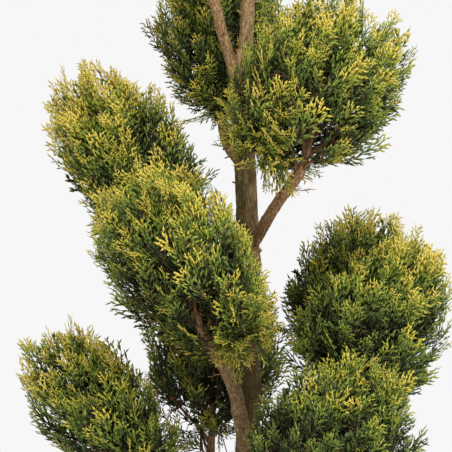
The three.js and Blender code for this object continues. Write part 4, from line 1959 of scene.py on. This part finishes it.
    def lightness(
        self, head: Head, tip: np.ndarray, broad: np.ndarray, share: np.ndarray, turn: np.ndarray
    ) -> np.ndarray:
        """Works out how light each spray is, partly from the plant's own gold and partly as painted light
        and shade.

        It is lighter towards the sun, up, outside and to the front: partly the plant's gold on its sunny
        growth, partly painted light from above and the front. The side that faces away from the sun is made
        lighter, which is painted light. The head's own tone and painted side light join in, and sprays low
        in the plant are darker, which is painted shade.

        Args:
            head: The head.
            tip: Each spray's tip.
            broad: The direction of the tip from the head's middle.
            share: How far up the head it is.
            turn: The angle round the head.

        Returns:
            A number for each, where 0 is the darkest tint and 1 the lightest.
        """
        outward = unit(head.heart * (1, 0.5, 0)) * self.sun_out
        # Lighter towards the sun: partly the plant's gold on its sunny growth, partly painted light from
        # above and the front.
        facing = broad @ unit(UP * self.sun_height + outward - np.array([0, self.sun_front, 0]))
        sun = self.sun_gain * np.clip(facing, 0, 1) ** self.sun_sharpness
        # Painted light: sprays that face away from the sun are made lighter.
        sun -= self.shaded_side_lift * np.clip(facing, -1, 0)
        # The head's own gold with its painted light and shade, painted light on one side of it, and lighter
        # higher up the head.
        own = head.gold_light_and_shade + broad @ np.array(head.painted_light_side) + self.rise_gain * (share - 0.5)
        wave = self.light_wave * np.sin(self.wave_turns * turn + self.wave_rises * share + head.index)
        # Painted shade: sprays low in the plant are darker.
        low = self.painted_shade_low_down * np.clip((self.shaded_below - tip[:, 2]) / self.shade_fall, 0, 1)
        return self.plain_light + sun + own + wave - low

    def has_room(self, head: Head, tip: np.ndarray, root: np.ndarray) -> np.ndarray:
        """Tests which sprays stay in their room.

        Args:
            head: The head.
            tip: Each spray's tip.
            root: Each spray's root.

        Returns:
            True for each that starts in its head, ends hardly beyond the plant's box, is clear of the limbs
            and of the other heads, and doesn't hide the part of its head's stem that shows.
        """
        low, high = self.box
        keep = head.holds(root, 1.0) & np.all((tip > low - self.beyond) & (tip < high + self.beyond), axis=1)
        near_tip, near_root = (2 * tip + root) / 3, (tip + 2 * root) / 3
        for place in (tip, near_tip):
            keep &= np.linalg.norm(place - np.array(head.foot), axis=1) > self.foot_room
        middles, radii = self.skeleton.samples()
        for place in (tip, (tip + root) / 2):
            gap = np.linalg.norm(place[:, None, :] - middles[None, :, :], axis=2) - radii[None, :]
            keep &= gap.min(axis=1) > self.limb_room
            for other in HEADS:
                if other is not head:
                    keep &= ~other.holds(place, self.head_room)
        if head.open_stem:
            line = head.stem(self.stem_steps)[: round((self.stem_steps + 1) * head.open_stem)]
            for place in (tip, near_tip, near_root):
                gap = np.linalg.norm(place[:, None, ::2] - line[None, :, ::2], axis=2)
                keep &= (gap.min(axis=1) >= self.open_width) | (place[:, 1] >= line[:, 1].mean())
        return keep

    def primary_lines(self, head: Head) -> list[np.ndarray]:
        """Draws the main twigs of a head, which leave its stem and arch out to its shell.

        Args:
            head: The head.

        Returns:
            Their lines.
        """
        random = np.random.default_rng(self.primary_seed + head.index)
        stem = head.stem(self.stem_steps)
        outer, upper = self.arrive_lean
        lines = []
        for number in range(self.primaries):
            share = (number + 0.5) / self.primaries
            start = stem[round(mix(1, len(stem) - 1, share**self.primary_crowding))]
            swung = number * GOLDEN_ANGLE + random.uniform(-self.primary_swing, self.primary_swing)
            ratio = mix(*self.ratios, min(share / self.open_foot, 1))
            ratio += random.uniform(-self.ratio_range, self.ratio_range)
            up = mix(*self.primary_span, share)
            end = head.places(np.array([up]), np.array([swung]), ratio)[0]
            reach = np.linalg.norm(end - start)
            outward = unit(end - start)
            first = start + unit(outward + head.axis * self.leave_up) * reach * self.leave_share
            second = end - unit(outward * outer + UP * upper) * reach * self.arrive_share
            lines.append(arched_line((start, first, second, end), self.primary_steps))
        return lines

    def twigs(self, head: Head, roots: np.ndarray, headings: np.ndarray) -> bpy.types.Object:
        """Makes a head's twigs: the main ones, and one from them to each spray.

        Args:
            head: The head.
            roots: Where each spray begins.
            headings: Which way each spray points.

        Returns:
            The finished piece.
        """
        lines = self.primary_lines(head)
        radii = [np.linspace(self.primary_radius, self.twig_radius * 1.3, len(line)) for line in lines]
        joints = np.vstack([line[self.first_joint:] for line in lines])
        directions = np.vstack([unit(np.gradient(line, axis=0))[self.first_joint:] for line in lines])
        foot = np.array(head.foot)
        gap = np.linalg.norm(roots[:, None, :] - joints[None, :, :], axis=2)
        joint_away, root_away = (np.linalg.norm(places - foot, axis=1) for places in (joints, roots))
        behind = joint_away[None, :] > root_away[:, None] + self.behind_room
        fine = []
        for root, heading, joint in zip(roots, headings, np.argmin(gap + behind * self.behind_cost, axis=1)):
            start, end = joints[joint], root + heading * self.run_in
            bend = (start + directions[joint] * np.linalg.norm(end - start) * self.twig_bend + end) / 2
            fine.append(bent_line(start, bend, end, self.twig_places))
        fine_radii = [self.twig_radius * np.linspace(*self.twig_taper, self.twig_places)] * len(fine)
        thick = thin_tubes(lines, radii, self.primary_sides)
        places, faces = joined((thick, thin_tubes(fine, fine_radii, self.twig_sides)))
        piece = shown(f"twigs_{head.name}", new_mesh(f"twigs_{head.name}", places, faces), TwigBark())
        smooth(piece.data)
        return booked(piece, Slot.BARK)


# Pot and soil


@dataclass
class Pot:
    """The plain tapered pot with a rolled rim, two shallow bands and drain holes."""

    height: float = 310.0
    base_radius: float = 145.0
    top_radius: float = 178.0
    wall: float = 3.0
    rim_reach: float = 8.0
    rim_height: float = 16.0
    band_heights: Pair = (36, 44)
    band_depth: float = 1.2
    band_width: float = 3.0
    band_slope: float = 1.5
    sides: int = 128
    drain_holes: int = 6
    drain_radius: float = 9.0
    drain_circle: float = 104.0
    drain_sides: int = 24
    sharp_from: float = 40.0

    def radius_at(self, height: float) -> float:
        """The outer radius at a height."""
        return mix(self.base_radius, self.top_radius, height / self.height)

    def profile(self) -> list[Pair]:
        """Draws the wall's outline, up the outside and down the inside.

        Returns:
            Radius and height of each corner.
        """
        rim_foot = self.height - self.rim_height
        edge = self.top_radius + self.rim_reach
        outline = [(self.base_radius - 3, 0), (self.base_radius - 1, 0.8), (self.radius_at(3), 3)]
        flat, slope, depth = self.band_width, self.band_slope, self.band_depth
        for band in self.band_heights:
            for above, out in ((-slope, 0), (0, depth), (flat, depth), (flat + slope, 0)):
                outline.append((self.radius_at(band + above) + out, band + above))
        outline += [(self.radius_at(rim_foot - 2), rim_foot - 2), (self.radius_at(rim_foot) + 1, rim_foot)]
        outline += [(edge - 2.5, rim_foot), (edge - 0.6, rim_foot + 0.8), (edge, rim_foot + 3)]
        outline += [(edge, self.height - 4), (edge - 1, self.height - 1.4), (edge - 3, self.height)]
        outline += [(self.top_radius - 1, self.height), (self.top_radius - self.wall, self.height - 2)]
        return outline + [(self.radius_at(self.wall) - self.wall, self.wall)]

    def drills(self) -> bpy.types.Object:
        """Makes a short cylinder for each drain hole.

        Returns:
            An object that holds them all.
        """
        drill = bmesh.new()
        radius = self.drain_radius * METRES
        for number in range(self.drain_holes):
            turn = (number + 0.5) * FULL_TURN / self.drain_holes
            made = bmesh.ops.create_cone(
                drill, cap_ends=True, segments=self.drain_sides, radius1=radius, radius2=radius,
                depth=4 * self.wall * METRES,
            )
            place = Vector((math.cos(turn), math.sin(turn), 0)) * self.drain_circle
            place.z = self.wall / 2
            bmesh.ops.translate(drill, verts=made["verts"], vec=place * METRES)
        mesh = bpy.data.meshes.new("drills")
        drill.to_mesh(mesh)
        drill.free()
        return shown("drills", mesh)

    def build(self, plastic: MouldedPlastic) -> bpy.types.Object:
        """Turns the profile and cuts the drain holes.

        Args:
            plastic: The finish.

        Returns:
            The finished piece.
        """
        piece = shown("pot_shell", turned("pot_shell", self.profile(), self.sides))
        drills = self.drills()
        cut = piece.modifiers.new("drain", "BOOLEAN")
        cut.operation = "DIFFERENCE"
        cut.object = drills
        settled(piece)
        bpy.data.objects.remove(drills)
        piece.data.materials.clear()
        piece.data.materials.append(plastic.material())
        smooth(piece.data)
        piece.data.set_sharp_from_angle(angle=math.radians(self.sharp_from))
        return booked(piece, Slot.POT, "pot")


@dataclass
class Soil:
    """The soil in the pot: an uneven top with crumbs and chips on it.

    A lump is its height, its scale and its phase. The kinds are how many there are, their first seed and
    how high one is.
    """

    pot: Pot
    height: float = 284.0
    edge_drop: float = 7.0
    level_radius: float = 52.0
    lumps: tuple[Triple, ...] = ((1.6, 23, 1), (1.1, 11, 2.3), (0.8, 5.3, 4.1), (0.5, 2.9, 0.7))
    lump_edges: Pair = (0.25, 1.0)
    room: float = 0.6
    floor_room: float = 0.3
    rings: int = 60
    sides: int = 150
    crumbs: int = 2600
    crumb_size: Pair = (1.4, 4.5)
    crumb_kinds: tuple[int, int, float] = (3, 60, 0.75)
    chips: int = 260
    chip_size: Pair = (6, 12)
    chip_kinds: tuple[int, int, float] = (2, 80, 0.3)
    corner_range: Pair = (0.75, 1.1)
    clear_edge: float = 4.0
    rise: float = 0.3
    shade_lean: Pair = (1.6, 2.6)
    tilt: float = 0.35
    seed: int = 31

    def wall_at(self, height: float) -> float:
        """The pot's inner radius at a height."""
        return self.pot.radius_at(height) - self.pot.wall

    def top_at(self, places: np.ndarray) -> np.ndarray:
        """Works out the height of the soil's top.

        Args:
            places: Places, of which X and Y count.

        Returns:
            The height at each.
        """
        out = np.linalg.norm(places[:, :2], axis=1)
        edge = self.wall_at(self.height - self.edge_drop)
        fall = np.clip((out - self.level_radius) / (edge - self.level_radius), 0, 1)
        lumps = sum(
            size * np.sin(places[:, 0] / scale + phase) * np.cos(places[:, 1] / scale - 2 * phase)
            for size, scale, phase in self.lumps
        )
        return self.height - self.edge_drop * fall**1.3 + lumps * np.clip(fall * 4, *self.lump_edges)

    def build(self, soil: PottingSoil) -> list[bpy.types.Object]:
        """Makes the body of the soil and what lies on it.

        Args:
            soil: The finish.

        Returns:
            Both pieces.
        """
        floor, rim = self.pot.wall + self.floor_room, self.height - self.edge_drop
        edge = self.wall_at(rim) - self.room
        profile = [(self.wall_at(floor) - self.room, floor), (edge, rim)]
        profile += [(edge * (1 - ring / self.rings), self.height) for ring in range(1, self.rings)]
        mesh = turned("soil_body", profile, self.sides)
        places = places_of(mesh)
        on_top = places[:, 2] > rim - 1
        places[on_top, 2] = self.top_at(places[on_top])
        mesh.vertices.foreach_set("co", (places * METRES).ravel())
        piece = shown("soil_body", mesh, soil)
        smooth(mesh)
        return [booked(piece, Slot.SOIL, "soil"), self.loose(edge)]

    def crumb(self, name: str, seed: int, flat: float) -> bpy.types.Mesh:
        """Makes one crumb or chip, a unit across.

        Args:
            name: The mesh's name.
            seed: What its shape starts from.
            flat: How high it is. One under 0.5 is also narrow, as a chip is.

        Returns:
            The mesh.
        """
        random = np.random.default_rng(seed)
        work = bmesh.new()
        bmesh.ops.create_icosphere(work, subdivisions=1, radius=0.5)
        for vertex in work.verts:
            vertex.co *= random.uniform(*self.corner_range)
            vertex.co.z *= flat
            vertex.co.x *= 1 if flat > 0.5 else 0.5
        mesh = bpy.data.meshes.new(name)
        work.to_mesh(mesh)
        work.free()
        set_attributes(mesh, step=np.zeros(len(mesh.vertices)))
        return mesh

    def loose(self, edge: float) -> bpy.types.Object:
        """Scatters crumbs and bark chips over the top.

        Args:
            edge: The radius of the soil's top.

        Returns:
            The finished piece.
        """
        random = np.random.default_rng(self.seed)
        count = self.crumbs + self.chips
        out = (edge - self.clear_edge) * np.sqrt(random.uniform(0.02, 1, count))
        turn = random.uniform(0, FULL_TURN, count)
        places = np.column_stack([out * np.cos(turn), out * np.sin(turn), np.zeros(count)])
        places[:, 2] = self.top_at(places) + self.rise
        size = np.concatenate([
            random.uniform(*self.crumb_size, self.crumbs), random.uniform(*self.chip_size, self.chips),
        ])
        points = new_mesh("crumb_points", places, [])
        set_attributes(
            points,
            heading=unit(np.column_stack([random.normal(0, self.tilt, (count, 2)), np.ones(count)])),
            broad=np.broadcast_to((1.0, 0.0, 0.0), (count, 3)),
            size=size * METRES,
            shade=random.beta(*self.shade_lean, count),
            first=np.zeros(count),
        )
        kinds = [
            self.crumb(f"{name}_{number}", seed + number, flat)
            for name, (many, seed, flat) in (("crumb", self.crumb_kinds), ("chip", self.chip_kinds))
            for number in range(many)
        ]
        scatter = Scatter("soil_crumbs", points, kinds, len(kinds), CRUMB_TINTS, self.seed)
        return booked(scatter.build(), Slot.SOIL)


# The studio


@dataclass
class Studio:
    """The floor, the light and the camera at the photograph's angle."""

    camera_place: Triple = (-36, -3000, 904)
    half_width: float = 339.0
    floor_half: float = 3200.0
    backdrop: Colour = colour(247, 247, 247)
    ambient: float = 1.0
    lamps: tuple[tuple[str, Triple, float], ...] = (
        ("key_light", (300, -2500, 3500), 95.0),
        ("fill_light", (2200, -1600, 1700), 30.0),
    )
    lamp_size: float = 1500.0
    lamp_aim: Triple = (0, 0, 950)

    def build(self) -> None:
        """Sets up everything round the plant."""
        self.lay_floor()
        self.fill_with_light()
        self.aim_camera()

    def lay_floor(self) -> None:
        """Lays the plain pale floor under the pot."""
        corners = np.array([(-1, -1, 0), (1, -1, 0), (1, 1, 0), (-1, 1, 0)], float) * self.floor_half
        shown("floor", new_mesh("floor", corners, [[0, 1, 2, 3]]), PALE_FLOOR)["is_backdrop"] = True

    def fill_with_light(self) -> None:
        """Makes the plain white surround and the soft square lamps that face the crown."""
        world = bpy.data.worlds.new("studio")
        world.use_nodes = True
        feeds = {"Color": self.backdrop, "Strength": self.ambient}
        NodeGraph(world.node_tree).feed(world.node_tree.nodes["Background"], feeds)
        bpy.context.scene.world = world
        bpy.context.scene.view_settings.view_transform = "Standard"
        for name, place, power in self.lamps:
            light = bpy.data.lights.new(name, "AREA")
            light.energy = power
            light.size = self.lamp_size * METRES
            lamp = bpy.data.objects.new(name, light)
            lamp.location = Vector(place) * METRES
            aim = Vector(self.lamp_aim) * METRES - lamp.location
            lamp.rotation_euler = aim.to_track_quat("-Z", "Y").to_euler()
            bpy.context.scene.collection.objects.link(lamp)

    def aim_camera(self) -> None:
        """Stands the camera level, straight in front, as the photograph was taken."""
        lens = bpy.data.cameras.new("camera")
        lens.sensor_fit = "HORIZONTAL"
        lens.angle = 2 * math.atan(self.half_width / abs(self.camera_place[1]))
        camera = bpy.data.objects.new("camera", lens)
        camera.location = Vector(self.camera_place) * METRES
        camera.rotation_euler = (math.pi / 2, 0, 0)
        bpy.context.scene.collection.objects.link(camera)
        bpy.context.scene.camera = camera


def main() -> None:
    """Builds the plant, piece by piece, and its studio."""
    logging.basicConfig(level=logging.INFO, format="%(name)s: %(message)s")
    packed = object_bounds()
    Studio().build()
    skeleton = Skeleton()
    skeleton.grow()
    limbs = skeleton.build(Bark())
    LOG.info("limbs: %d faces", len(limbs.data.polygons))
    LOG.info("bark trim: %d faces", len(BarkTrim(skeleton).build(Bark()).data.polygons))
    Foliage(skeleton, tuple(np.array(corner) / METRES for corner in packed)).build()
    pot = Pot()
    LOG.info("pot: %d faces", len(pot.build(MouldedPlastic()).data.polygons))
    for piece in Soil(pot).build(PottingSoil()):
        LOG.info("%s: %d faces", piece.name, len(piece.data.polygons))
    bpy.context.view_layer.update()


if __name__ == "__main__":
    main()
